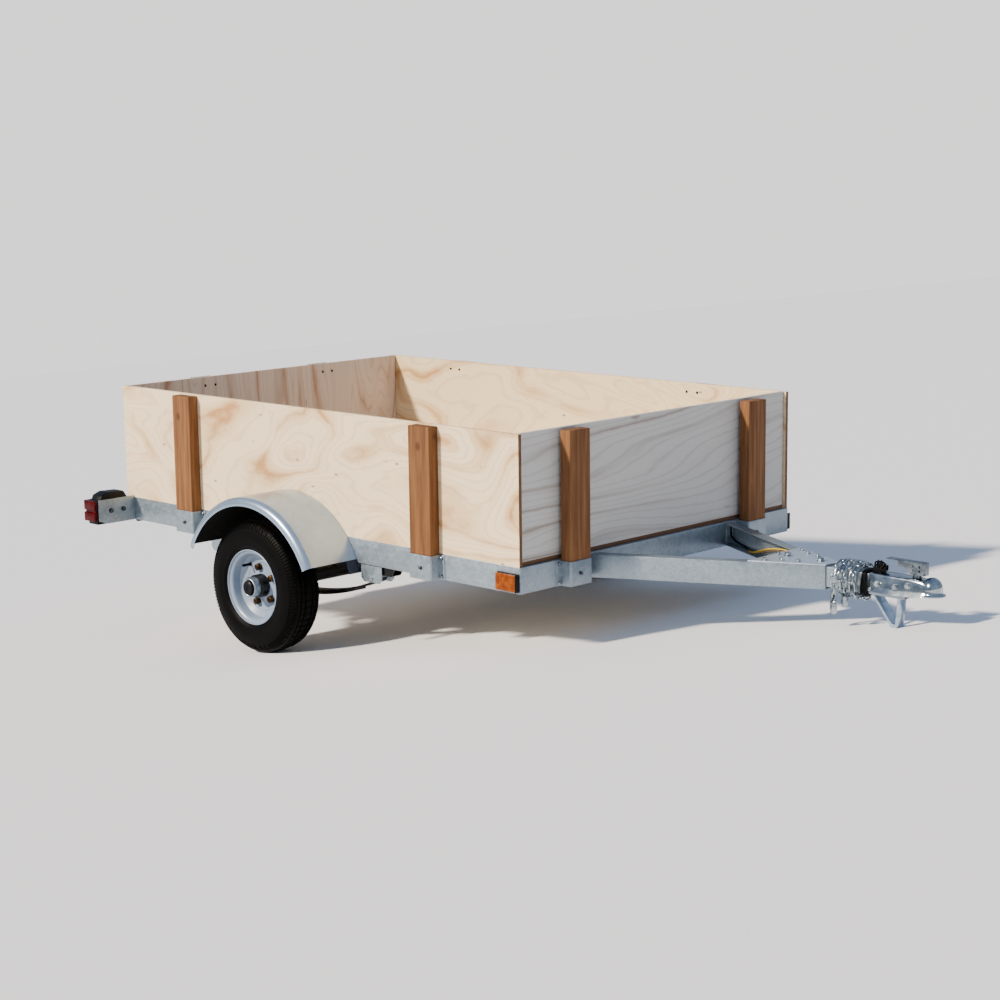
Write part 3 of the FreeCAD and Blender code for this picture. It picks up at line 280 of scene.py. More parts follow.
# Moulded lamp plastics: grained black bodies, and deep red and amber lenses with a wet gloss; the red is darker than
# the lens in light, partly painted shade
black_abs = plain_finish("moulded_black_abs", "#020306", "#05070d", 40.0, 0.4, 0.1, shine=0.15)
shade_darkened_red_lens = plain_finish("red_lens_acrylic_with_painted_shade", "#360001", "#500002", 60.0, 0.24, shine=0.15)
amber_acrylic = plain_finish("moulded_amber_acrylic", "#6e2f00", "#964a00", 60.0, 0.24, shine=0.15)
# Extruded PVC on cable and wires: plain colours, half matt
black_pvc = plain_finish("black_pvc_sheath", "#020203", "#060607", 60.0, 0.42, shine=0.1)
yellow_pvc = plain_finish("yellow_pvc_wire", "#d9b21c", "#c39a12", 60.0, 0.4)
brown_pvc = plain_finish("brown_pvc_wire", "#5d3f24", "#4b321c", 60.0, 0.4)
green_pvc = plain_finish("green_pvc_wire", "#3f5f3a", "#314d2e", 60.0, 0.4)


# Modelling helpers

def shut():
    """Back to object mode."""
    bpy.ops.object.mode_set(mode="OBJECT")


def deselected():
    """Object mode with nothing selected."""
    if bpy.context.object and bpy.context.object.mode != "OBJECT":
        shut()
    bpy.ops.object.select_all(action="DESELECT")


def picked(piece):
    """Only this piece selected, and active."""
    deselected()
    piece.select_set(True)
    bpy.context.view_layer.objects.active = piece
    return piece


def copied(piece):
    """A copy of a piece with a mesh of its own."""
    copy = piece.copy()
    copy.data = piece.data.copy()
    bpy.context.collection.objects.link(copy)
    return copy


def joined(pieces):
    """Several pieces made one."""
    first = picked(pieces[0])
    for piece in pieces:
        piece.select_set(True)
    bpy.ops.object.join()
    return first


def applied(piece):
    """A piece's place put into its mesh."""
    picked(piece)
    bpy.ops.object.transform_apply(location=True, rotation=True, scale=True)
    return piece


def placed(piece, place):
    """A piece set by a matrix of its place, turn and scale, which go into its mesh; righted if it mirrors."""
    piece.matrix_world = place
    applied(piece)
    return righted(piece) if place.determinant() < 0 else piece


def opened(piece, kind="VERT", choice="DESELECT"):
    """Edit mode on this piece alone, picking points, edges or faces, with none or all of them picked."""
    picked(piece)
    bpy.ops.object.mode_set(mode="EDIT")
    bpy.ops.mesh.select_mode(type=kind)
    bpy.ops.mesh.select_all(action=choice)
    return piece


def turned_outwards():
    """In edit mode, every face turned outwards; back to object mode."""
    bpy.ops.mesh.select_all(action="SELECT")
    bpy.ops.mesh.normals_make_consistent(inside=False)
    shut()


def ends_closed():
    """In edit mode, every open end filled with a face, and all faces turned outwards."""
    bpy.ops.mesh.select_all(action="DESELECT")
    bpy.ops.mesh.select_non_manifold()
    bpy.ops.mesh.edge_face_add()
    turned_outwards()


def righted(piece):
    """A mirrored piece with its faces turned outwards again."""
    opened(piece)
    turned_outwards()
    return piece


def modified(piece, kind, **settings):
    """A modifier put on a piece and applied at once."""
    picked(piece)
    made = piece.modifiers.new(kind.title(), kind)
    for name, value in settings.items():
        setattr(made, name, value)
    bpy.ops.object.modifier_apply(modifier=made.name)
    return piece


def bevelled(piece, edge_mm, segments=2, sharper_than=35):
    """A piece with the edges rounded that are sharper than an angle in degrees."""
    return modified(piece, "BEVEL", width=edge_mm * mm, segments=segments, limit_method="ANGLE",
                    angle_limit=math.radians(sharper_than))


def coated(piece, name, finish, smooth, body):
    """A piece named, with its finish and the angle up to which it is shaded smooth, riding on its body."""
    piece.name = piece.data.name = name
    if smooth:
        bpy.ops.object.shade_smooth_by_angle(angle=math.radians(smooth))
    piece.data.materials.clear()
    piece.data.materials.append(finish)
    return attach(piece, body)


def settled(piece, name, finish, body="frame", smooth=35):
    """A level piece in metres put into the parked pose, with its finish, riding on its body."""
    placed(piece, parked @ piece.matrix_world)
    return coated(piece, name, finish, smooth, body)


def dressed(node, finish, edge_mm=0, smooth=35):
    """A smoother copy of a CAD node, with its sharp edges rounded a little."""
    piece = copied(frame["nodes"][node])
    piece.parent = None
    piece.hide_render = piece.hide_viewport = False
    opened(piece, choice="SELECT")
    bpy.ops.mesh.remove_doubles(threshold=0.00002)
    bpy.ops.mesh.dissolve_limited(angle_limit=math.radians(1))
    shut()
    if edge_mm:
        bevelled(piece, edge_mm, 3, 32)
    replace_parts(coated(piece, node + "_shell", finish, smooth, "frame"), node)


def finished(finish, *nodes):
    """CAD nodes whose own shape is right: they only get their finish."""
    for node in nodes:
        mesh = frame["nodes"][node].data
        mesh.materials.clear()
        mesh.materials.append(finish)


def facing_turn(facing):
    """The turn that makes a piece's +Z face a direction."""
    return Vector(facing).to_track_quat("Z", "Y")


def spread(model, places):
    """Copies of a small piece that stands along +Z, each at a place and facing a direction, joined."""
    copies = []
    for place, facing in places:
        copy = copied(model)
        turn = facing_turn(facing).to_matrix().to_4x4()
        copy.matrix_world = Matrix.Translation(place * mm) @ turn @ model.matrix_world
        copies.append(copy)
    return applied(joined(copies))


def scattered(model, *groups):
    """A small piece spread to each group's places, a piece to a group, and the model put away."""
    for name, finish, places, *body_and_smooth in groups:
        piece = settled(spread(model, places), name, finish, *body_and_smooth)
    bpy.data.objects.remove(model)
    return piece


def faces_where(piece, test):
    """Edit mode with only the faces selected whose middle and normal pass a test."""
    opened(piece, "FACE")
    shut()
    for face in piece.data.polygons:
        face.select = bool(test(face.center, face.normal))
    bpy.ops.object.mode_set(mode="EDIT")


def drawn_out(by):
    """In edit mode, the picked part extruded by a distance along each axis."""
    bpy.ops.mesh.extrude_region_move(TRANSFORM_OT_translate={"value": by})


def drawn(outline):
    """A closed outline of (x, z) points in millimetres, drawn by extruding a point; left in edit mode."""
    bpy.ops.mesh.primitive_plane_add(size=mm)
    piece = opened(bpy.context.object, choice="SELECT")
    bpy.ops.mesh.merge(type="CENTER")
    before = Vector((outline[0][0], 0, outline[0][1]))
    bpy.ops.transform.translate(value=before * mm)
    for along, out in outline[1:] + outline[:1]:
        after = Vector((along, 0, out))
        drawn_out((after - before) * mm)
        before = after
    bpy.ops.mesh.select_all(action="SELECT")
    bpy.ops.mesh.remove_doubles(threshold=0.00001)
    return piece


def spun(outline, steps, span=2 * math.pi):
    """A closed outline of (along, out) points spun about the X axis."""
    piece = drawn(outline)
    bpy.ops.mesh.spin(steps=steps, angle=span, center=(0, 0, 0), axis=(1, 0, 0))
    bpy.ops.mesh.select_all(action="SELECT")
    bpy.ops.mesh.remove_doubles(threshold=0.00001)
    turned_outwards()
    return piece


def pressed(outline, start, end, edge_mm):
    """A closed outline of (x, z) points filled and drawn out along Y from start to end, its edges rounded."""
    piece = drawn(outline)
    bpy.ops.mesh.edge_face_add()
    bpy.ops.transform.translate(value=(0, start * mm, 0))
    drawn_out((0, (end - start) * mm, 0))
    turned_outwards()
    return bevelled(piece, edge_mm, 3, 20)


def mirrored(piece):
    """A piece joined with its copy across the middle plane."""
    twin = copied(piece)
    twin.matrix_world = Matrix.Scale(-1, 4, (1, 0, 0)) @ piece.matrix_world
    return righted(applied(joined([piece, twin])))


def at_wheel(piece, side, ahead_by=0, above_by=0):
    """A piece drawn about the X axis, set on the right wheel's middle, or off it, or mirrored to the left wheel."""
    middle = Vector((side * wheel_middle_x, axle_y + ahead_by, axle_z + above_by)) * mm
    return placed(piece, Matrix.Translation(middle) @ Matrix.Scale(side, 4, (1, 0, 0)))


# Wheels: each outline is (along the axle from the wheel's middle plane, out from the axle) in millimetres

tyre_turns = 240
tread_groove, tread_depth = 4, 5


def tyre(side, label):
    """Small trailer tyre: ribbed tread, serrated shoulders and a rounded side wall with fine rings."""
    rib = [(0, 207)]
    for middle, top in ((13, 206.6), (29, 204.9)):
        near, far = middle - tread_groove / 2, middle + tread_groove / 2
        rib += [(near, top), (near + 1, top - tread_depth), (far - 1, top - tread_depth), (far, top - 0.4)]
    wall = [(40, 202), (47, 197.3), (52, 190.5), (56, 180.5), (58.8, 169), (60, 158),
            (60.5, 150), (59.9, 141), (58.4, 133), (58.8, 131), (58.2, 128.5), (55.5, 124),
            (53, 119.5), (50.3, 116), (48, 108), (44.4, 104.1)]
    right = rib[1:] + wall
    outline = [(-a, r) for a, r in reversed(right)] + [rib[0]] + right
    piece = spun(outline, tyre_turns)
    step = 2 * math.pi / tyre_turns

    def measured(middle):
        """A face's count round the tyre, its radius and its distance from the middle plane."""
        turn = math.atan2(middle.y, middle.z) % (2 * math.pi)
        return int(turn / step + 0.5), math.hypot(middle.y, middle.z) / mm, abs(middle.x) / mm

    def on_shoulder(middle, normal):
        count, radius, across = measured(middle)
        return count % 2 == 0 and 184 < radius < 203 and across > 34

    def on_rib(middle, normal):
        count, radius, across = measured(middle)
        return count % 4 == 0 and radius > 204.5 and (16 < across < 26 or across < 10)

    for where, rim_mm, depth_mm, apart in ((on_shoulder, 0.7, -2.2, False), (on_rib, 1.2, -2, True)):
        faces_where(piece, where)
        bpy.ops.mesh.inset(thickness=rim_mm * mm, depth=depth_mm * mm, use_individual=apart)
        shut()
    piece = settled(at_wheel(piece, side), "tyre_carcass_" + label, tyre_rubber, "wheel_" + label, 28)
    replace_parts(piece, "tyre_" + label)


def rim(side, label):
    """Pressed silver-white wheel, its enamel darkened to blue-grey as painted shade: rolled lip, barrel with a drop
    well, and a dished disc with a raised ring.
    """
    outer = [(18, 100.7), (44.8, 103.7), (49, 112), (51.5, 116.4), (54, 116.6), (55, 114.6), (53.6, 112.9),
             (49.5, 111.4), (46.6, 104.6), (42, 101.9), (36, 101.2), (20, 98.2), (12.5, 84.5)]
    disc = [(10.8, 81), (12, 77.5), (11, 73.5), (8.4, 70), (8, 46), (11, 41), (11, 32.8),
            (4, 32.8), (4, 70), (6, 75), (6, 81), (-10.8, 81)]
    inner = [(-18, 97.7), (-47.8, 100.7), (-52, 112.4), (-54, 113.5), (-54, 116), (-53.2, 116.4),
             (-50.8, 113.5), (-44.8, 103.7), (-18, 100.7), (-10.8, 84), (10.8, 84)]
    piece = spun(outer + disc + inner, 96)
    piece = settled(at_wheel(piece, side), "wheel_rim_" + label, shade_darkened_rim_enamel, "wheel_" + label, 40)
    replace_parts(piece, "rim_" + label)


def hub(side, label):
    """Black hub barrel, a bright bearing-protector ring on its end and a black plug that stands out of it."""
    barrel = [(-42, 13.4), (-42, 30), (-4, 30), (-4, 70), (3.7, 70), (3.7, 32.2), (11.2, 32.2),
              (11.2, 36), (36, 36), (38.5, 34), (38.5, 13.4)]
    ring = [(38, 21), (38, 28.5), (40, 29.5), (60, 29.5), (63, 28.5), (64, 26.5), (62.5, 24), (56, 22)]
    plug = [(40, 21), (64, 22.5), (69, 21.5), (71, 18.5), (70, 14), (70.6, 8), (68.5, 6.5), (68.5, 0.05),
            (40, 0.05)]
    turned = []
    for outline, steps, name, finish in ((barrel, 64, "hub_barrel_", black_enamel),
                                         (ring, 64, "bearing_ring_", galvanised_arm),
                                         (plug, 48, "grease_plug_", black_abs)):
        turned.append(settled(at_wheel(spun(outline, steps), side), name + label, finish, "wheel_" + label))
    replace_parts(turned[0], "hub_" + label)


def on_top(middle, normal):
    """The faces that look up."""
    return normal.z > 0.9


def lug_nut():
    """Hex nut with its stud end, standing along +Z."""
    bpy.ops.mesh.primitive_cylinder_add(vertices=6, radius=11.5 * mm, depth=14 * mm, location=(0, 0, 7 * mm))
    nut = bpy.context.object
    faces_where(nut, on_top)
    bpy.ops.mesh.inset(thickness=0.0012)
    bpy.ops.transform.translate(value=(0, 0, 0.0016))
    bpy.ops.mesh.inset(thickness=0.0035)
    drawn_out((0, 0, 0.0014))
    return bevelled(nut, 0.5)


lug_first_angle, lug_circle, lug_count, disc_face = 102, 57.15, 5, 8
valve_angle, valve_circle = 132, 79


def lug_nuts(side, label):
    """The ring of nuts on the disc."""
    x = side * (wheel_middle_x + disc_face)
    places = []
    for i in range(lug_count):
        angle = math.radians(lug_first_angle + 360 / lug_count * i)
        middle = Vector((x, axle_y + lug_circle * math.cos(angle), axle_z + lug_circle * math.sin(angle)))
        places.append((middle, (side, 0, 0)))
    piece = scattered(lug_nut(), ("wheel_nuts_" + label, yellow_zinc, places, "wheel_" + label))
    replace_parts(piece, "lug_nuts_" + label)


def valve(side, label):
    """Snap-in rubber valve: a waisted stem with a cap, out of the disc near the barrel."""
    stem = spun([(6, 0.05), (6, 6), (13, 6), (16, 4.4), (31, 3.6), (32, 4.3), (42, 4.1),
                 (43.5, 3), (43.5, 0.05)], 20)
    angle = math.radians(valve_angle)
    at_wheel(stem, side, valve_circle * math.cos(angle), valve_circle * math.sin(angle))
    settled(stem, "valve_stem_" + label, tyre_rubber, "wheel_" + label)


# Mudguards

guard_chord, guard_rise, guard_base_z = 571, 179, 12
guard_y = axle_y + 11.5
guard_radius = ((guard_chord / 2) ** 2 + guard_rise ** 2) / (2 * guard_rise)
guard_centre_z = guard_base_z + guard_rise - guard_radius
guard_span = 2 * math.asin(guard_chord / 2 / guard_radius)
guard_in, guard_out = half_width + 2, half_width + 197
guard_bead, guard_thick = 20, 2


def bead_round(radius, steps=8):
    """Quarter round of the guard's bead, from its crown to its outer edge."""
    turns = [math.pi / 2 * i / steps for i in range(steps + 1)]
    return [(guard_out - guard_bead + radius * math.sin(turn), guard_radius - guard_bead + radius * math.cos(turn))
            for turn in turns]


def mudguard(side, label):
    """Rolled steel guard: flat crown, round bead along the outer edge, a thin turned lip inside."""
    crown = [(guard_in, guard_radius - guard_thick), (guard_in, guard_radius), (guard_in + 60, guard_radius + 0.2),
             (guard_out - guard_bead - 20, guard_radius)]
    lip_radius = guard_radius - guard_bead - 6
    lip = [(guard_out, lip_radius), (guard_out - guard_thick, lip_radius)]
    piece = spun(crown + bead_round(guard_bead) + lip + bead_round(guard_bead - guard_thick)[::-1], 72, guard_span)
    # the spin leaves both ends open: close them, then swing the guard back by half its span
    opened(piece, "EDGE")
    ends_closed()
    half_turn = math.copysign(guard_span / 2, sum(v.co.y for v in piece.data.vertices))
    middle = Vector((0, guard_y, guard_centre_z)) * mm
    placed(piece, Matrix.Translation(middle) @ Matrix.Scale(side, 4, (1, 0, 0)) @ Matrix.Rotation(half_turn, 4, "X"))
    piece = settled(piece, "guard_skin_" + label, rolled_steel, "frame", 40)
    # painted shade: every face that looks into the guard's hollow takes the flat black, standing for the shade under
    # the guard
    piece.data.materials.append(painted_shade_black)
    hollow = parked @ middle
    for face in piece.data.polygons:
        towards = hollow - face.center
        towards.x = 0
        if face.normal.dot(towards.normalized()) > 0.35:
            face.material_index = 1
    painted_shade_guard_wall(side, label)
    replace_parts(piece, "mudguard_" + label)


def painted_shade_guard_wall(side, label):
    """Thin black wall that closes the guard on its inner side, set where the shade under the guard falls: its black
    is painted shade.
    """
    steps, radius = 24, guard_radius - 2.5
    reach = math.acos((guard_base_z + 2 - guard_centre_z) / radius)
    arch = []
    for i in range(steps + 1):
        angle = reach * (2 * i / steps - 1)
        arch.append((radius * math.sin(angle), radius * math.cos(angle)))
    wall = pressed(arch, 0, 1.5, 0.3)
    middle = Vector((side * (guard_in + 2), guard_y, guard_centre_z)) * mm
    wall.matrix_world = Matrix.Translation(middle) @ Matrix.Rotation(-side * math.pi / 2, 4, "Z")
    settled(wall, "painted_shade_guard_wall_" + label, painted_shade_black)


# Bolts and screws

washer_thick = 1.6
arm_top, gusset_thick = 72.5, 4
flange_thick, flange_bolt_aside, pocket_reach = 2.5, 54.5, 40


def hex_bolt(across, height, washer):
    """Hex bolt head on a round washer, standing along +Z."""
    bpy.ops.mesh.primitive_cylinder_add(vertices=24, radius=washer / 2 * mm, depth=washer_thick * mm,
                                        location=(0, 0, washer_thick / 2 * mm))
    head = bpy.context.object
    faces_where(head, on_top)
    bpy.ops.mesh.inset(thickness=0.0003)
    shut()
    bpy.ops.mesh.primitive_cylinder_add(vertices=6, radius=across / math.sqrt(3) * mm, depth=height * mm,
                                        location=(0, 0, (washer_thick + height / 2) * mm))
    cap = bpy.context.object
    faces_where(cap, on_top)
    bpy.ops.mesh.inset(thickness=0.0009)
    bpy.ops.transform.translate(value=(0, 0, 0.0007))
    bevelled(cap, 0.4)
    return applied(joined([head, cap]))


def pan_screw(across, height):
    """Low domed screw head, standing along +Z."""
    bpy.ops.mesh.primitive_uv_sphere_add(segments=20, ring_count=10, radius=across / 2 * mm)
    head = opened(bpy.context.object, choice="SELECT")
    bpy.ops.mesh.bisect(plane_co=(0, 0, 0), plane_no=(0, 0, 1), clear_inner=True, use_fill=True)
    bpy.ops.mesh.select_all(action="SELECT")
    bpy.ops.transform.resize(value=(1, 1, height / (across / 2)))
    shut()
    return head


def stake_places():
    """Middle of each pocket on its rail's face, the outward direction and the direction along the rail."""
    along_x, along_y = Vector((1, 0, 0)), Vector((0, 1, 0))
    sides = [(Vector((side * half_width, y, 0)), side * along_x, along_y)
             for y in (side_stake_y, -side_stake_y) for side in (1, -1)]
    ends = [(Vector((side * x, end * rail_end_y, 0)), end * along_y, along_x)
            for x, end in ((front_stake_x, 1), (rear_stake_x, -1)) for side in (1, -1)]
    return sides + ends


def fasteners():
    """Every visible bolt and screw, a piece to each kind and place."""
    right, forward, up = Vector((1, 0, 0)), Vector((0, 1, 0)), Vector((0, 0, 1))
    plate_z = arm_top + gusset_thick
    flange = [(middle + out * flange_thick + along * end * flange_bolt_aside + up * z, out)
              for middle, out, along in stake_places() for end in (-1, 1) for z in (9, 64)]
    face = [(middle + out * pocket_reach + along * 5 + up * 35, out) for middle, out, along in stake_places()]
    plate = [(Vector((x, y, plate_z)), up) for x, y in ((93, 1364), (46, 1445), (-90, 1360), (-48, 1445), (0, 1342),
                                                        (62, 1400), (-62, 1400))]
    tube = [(Vector((0, y, plate_z)), up) for y in (1375, 1489)]
    body = [(Vector((side * coupler_half, y, z)), side * right)
            for side in (1, -1) for y, z in ((1696, 45), (1753.5, 45), (1793, 54))]
    lamp = [(Vector((side * x, -875, 43)), forward) for side in (1, -1) for x in (667, 717)]
    guard = [(Vector((side * 624.9, y, -15)), side * right) for side in (1, -1) for y in (240, -331)]
    inner_x, inner_y = half_width - ply, half_length - 9 - ply
    inside = []
    for z in (420, 150):
        for offset in (-22, 22):
            for side in (1, -1):
                for y in (side_stake_y, -side_stake_y):
                    inside.append((Vector((side * inner_x, y + offset - 20, z)), -side * right))
                inside.append((Vector((side * front_stake_x + offset, inner_y, z)), -forward))
                inside.append((Vector((side * rear_stake_x + offset, -inner_y, z)), forward))

    scattered(hex_bolt(8, 4, 12.5), ("pocket_flange_bolts", bright_zinc, flange))
    scattered(hex_bolt(9, 4.5, 11), ("stake_lag_screws", dark_zinc_and_painted_shade, face))
    scattered(hex_bolt(11, 5, 15), ("plate_bolts", bright_zinc, plate))
    scattered(hex_bolt(17, 8, 24), ("plate_tube_bolts", bright_zinc, tube))
    # painted shade: the lamp bolts take the dark dull zinc because they stood in shade
    scattered(hex_bolt(13, 6, 17), ("coupler_bolts", bright_zinc, body),
              ("lamp_bolts", dark_zinc_and_painted_shade, lamp), ("guard_bolts", bright_zinc, guard))
    scattered(pan_screw(9, 2.4), ("panel_screws", black_enamel, inside))


# Tongue: chain links, cable and wires

chain_wire, chain_pitch, chain_width = 6, 25, 20.5
tube_width, tube_height, tube_top = 51, 57, 69.5
tube_mid_z = tube_top - tube_height / 2
arm_tip_y = rail_end_y + 608
coupler_rear_y = arm_tip_y + 142.5
chain_lead, chain_turns, chain_gap, chain_short = 20, 2, 40, 2
link_roll = math.pi / 4
wind_radius = math.hypot(tube_width / 2, tube_height / 2) + chain_width / 2 * math.cos(link_roll) + 0.9


def chain_places(first_y, hanging):
    """Where each link lies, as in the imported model: first the ones that hang, then round and round the tube."""
    step = 2 * math.asin(chain_pitch / 2 / wind_radius)
    places = []
    for i in range(hanging, 0, -1):
        hung = Vector((wind_radius, first_y, tube_mid_z - i * chain_pitch))
        places.append((hung, Vector((0, 0, 1)), Vector((1, 0, 0))))
    for i in range(int(chain_turns * 2 * math.pi / step) - chain_short):
        angle = i * step
        out = Vector((math.cos(angle), 0, math.sin(angle)))
        along = Vector((-math.sin(angle), chain_lead / (2 * math.pi * wind_radius), math.cos(angle)))
        middle = Vector((0, first_y + chain_lead * angle / (2 * math.pi), tube_mid_z))
        places.append((out * wind_radius + middle, along, out))
    return places


def chain_link():
    """Welded link of round bar along X: a ring drawn out to an oval."""
    bar = chain_wire / 2
    bpy.ops.mesh.primitive_torus_add(major_segments=20, minor_segments=8, major_radius=(chain_width / 2 - bar) * mm,
                                     minor_radius=bar * mm, rotation=(math.pi / 2, 0, 0))
    link = applied(bpy.context.object)
    slack = 0.4
    stretch = (chain_pitch / 2 + slack + chain_wire - chain_width / 2) * mm
    for side in (-1, 1):
        faces_where(link, lambda middle, normal: middle.x * side > 0.0005)
        bpy.ops.transform.translate(value=(side * stretch, 0, 0))
        shut()
    return link


def wound_chains():
    """Two chains, every other link rolled the other way, the first with a link that hangs."""
    model = chain_link()
    first_y = arm_tip_y + chain_gap
    links = []
    for places in (chain_places(first_y, 1), chain_places(first_y + chain_turns * chain_lead, 0)):
        for i, (place, along, out) in enumerate(places):
            x = along.normalized()
            y = x.cross(out).normalized()
            turn = Matrix((x, y, x.cross(y))).transposed().to_4x4()
            roll = Matrix.Rotation(-link_roll if i % 2 else link_roll, 4, "X")
            links.append(copied(model))
            links[-1].matrix_world = Matrix.Translation(place * mm) @ turn @ roll
    chains = joined(links)
    bpy.data.objects.remove(model)
    chains = settled(chains, "wound_chain_links", bright_zinc, "frame", 60)
    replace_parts(chains, "safety_chains")


def tube_along(points, radius, name, finish, cyclic=False):
    """A round cord laid along points in level millimetres, as a mesh."""
    curve = bpy.data.curves.new(name, "CURVE")
    curve.dimensions = "3D"
    curve.bevel_depth = radius * mm
    curve.bevel_resolution = 3
    curve.resolution_u = 6
    spline = curve.splines.new("NURBS")
    spline.points.add(len(points) - 1)
    for knot, point in zip(spline.points, points):
        knot.co = (*(Vector(point) * mm), 1)
    spline.order_u = 3
    spline.use_endpoint_u = not cyclic
    spline.use_cyclic_u = cyclic
    piece = bpy.data.objects.new(name, curve)
    bpy.context.collection.objects.link(piece)
    picked(piece)
    bpy.ops.object.convert(target="MESH")
    return settled(bpy.context.object, name, finish, "frame", 60)


def tongue_cable():
    """The lighting cable wound untidily round the tube behind the coupler, its plug's leads bunched on top."""
    near_x, near_z = tube_width / 2 + 4, tube_height / 2 + 4
    wound = []
    turns = ((22.5, 0.5, 2), (17.5, 0, 0), (12, 1.5, 4), (7, 0.5, 1.5))
    for strand, (rear, slack, sag) in enumerate(turns):
        turn = []
        for i in range(16):
            angle = math.pi / 8 * i
            x = max(-1, min(1, 1.3 * math.cos(angle))) * (near_x + slack + strand)
            z = max(-1, min(1, 1.3 * math.sin(angle))) * (near_z + slack)
            z -= sag * max(0, -math.sin(angle))
            turn.append((x, coupler_rear_y - rear + 2.5 * math.sin(2 * angle + strand), tube_mid_z + z))
        wound.append(tube_along(turn, 3.1, "wound_cable_%d" % strand, black_pvc, True))
    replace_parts(wound[1], "cable_wrap")
    top = tube_top + 7
    for i, (height, lean) in enumerate(((17, 3), (25, -2), (21, 5), (29, 1), (22, 6), (26, -3), (18, 3))):
        y = coupler_rear_y + 3 + 5.6 * i
        loop = [(13, y, top), (10, y + lean, top + 0.7 * height), (2, y + 2 * lean, top + height),
                (-5, y + lean, top + 0.8 * height), (-12, y - lean, top + 1)]
        tube_along(loop, 2.3, "plug_lead_%d" % i, black_pvc)


def arm_wires():
    """Lighting wires: from under the plate they sag to the left arm's lower flange, then run to the corner."""
    path = ((-70, 1352, 66), (-105, 1300, 67), (-125, 1242, 58), (-157, 1185, 45), (-200, 1122, 24), (-230, 1074, 10),
            (-252, 1045, 10))
    strands = (("yellow_wire", yellow_pvc, 0, 0, 1.8), ("second_yellow_wire", yellow_pvc, 7, 4, 1.8),
               ("brown_wire", brown_pvc, 3, -5, 1.6), ("green_wire", green_pvc, -5, -8, 1.6))
    for name, finish, aside, lift, thick in strands:
        strand = [(x + aside, y + aside / 2, z + (lift if 20 < z < 66 else abs(lift) / 4)) for x, y, z in path]
        tube_along(strand, thick, name, finish)
    loom = ((-238, 1062, 10), (-262, 1037, 10), (-288, 1000, 13), (-310, 955, 15), (-321, 924, 24), (-322, 921, 45),
            (-322, 921, 64))
    tube_along(loom, 2.6, "black_loom", black_pvc)


# Coupler

coupler_half, coupler_top, coupler_wall = 28.8, 72.5, 2.6
ball_y, ball_z = coupler_rear_y + 184, 47
lip_z = 30


def coupler_section(half, top, crease, flare, bottom):
    """Cross-section of the pressed body: a rounded top, upright sides and a flange flared out below."""
    wall = coupler_wall
    skin = [(half + flare, bottom), (half + 1.5, crease - 3), (half, crease + 3), (half, top - 7),
            (half - 2, top - 2), (half - 7, top)]
    lining = [(half + flare - wall * 1.2, bottom), (half + 1.5 - wall, crease - 4), (half - wall, crease + 2),
              (half - wall, top - 7), (half - 2 - wall, top - 2 - wall), (half - 7, top - wall)]
    return (skin + [(-x, z) for x, z in reversed(skin)]
            + [(-x, z) for x, z in lining] + [(x, z) for x, z in reversed(lining)])


def coupler():
    """Pressed coupler: open-bottomed body bridged through its sections, and a ball dome on a round lip."""
    sections = ((coupler_rear_y, coupler_half, coupler_top, 36, 9, 24),
                (coupler_rear_y + 72, coupler_half, coupler_top, 35, 11, 21),
                (coupler_rear_y + 132, coupler_half, coupler_top, 38, 10, 24),
                (ball_y - 17, 28.4, 69, 41, 8, 28), (ball_y, 27.5, 63, 42, 7.5, lip_z))
    loops = []
    for y, *shape in sections:
        loops.append(drawn(coupler_section(*shape)))
        bpy.ops.transform.translate(value=(0, y * mm, 0))
        shut()
    body = opened(joined(loops), "EDGE", "SELECT")
    bpy.ops.mesh.bridge_edge_loops()
    ends_closed()
    bevelled(body, 0.8, 2, 30)
    drop, reach, rise, steps = lip_z - ball_z, 29.2, 33, 10
    outside = [(drop, 36.5), (drop + 2.6, 36.5), (drop + 3.6, 35.5), (drop + 5, 31.8), (drop + 8, 29.8)]
    inside = []
    for i in range(steps + 1):
        turn = math.pi / 2 * i / steps
        up, out = math.sin(turn), math.cos(turn)
        outside.append((rise * up, max(reach * out, 0.05)))
        inside.append(((rise - coupler_wall) * up, max((reach - coupler_wall) * out, 0.05)))
    dome = spun(outside + inside[::-1] + [(drop, reach - coupler_wall)], 64)
    placed(dome, Matrix.Translation(Vector((0, ball_y, ball_z)) * mm) @ Matrix.Rotation(-math.pi / 2, 4, "Y"))
    piece = settled(joined([body, dome]), "coupler_pressing", bright_zinc, "frame", 40)
    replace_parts(piece, "coupler_body")


# Lamps

lamp_front, lamp_back = -878, -930


def lamp_body():
    """Moulded lamp body behind its bracket, with a low crown that slopes at both ends."""
    outline = [(645, 0), (769, 0), (769, 76), (757, 80), (749, 95.5), (724, 105), (661, 103), (645, 80)]
    body = settled(mirrored(pressed(outline, lamp_back, lamp_front, 3)), "lamp_bodies", black_abs)
    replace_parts(body, "tail_lamps")


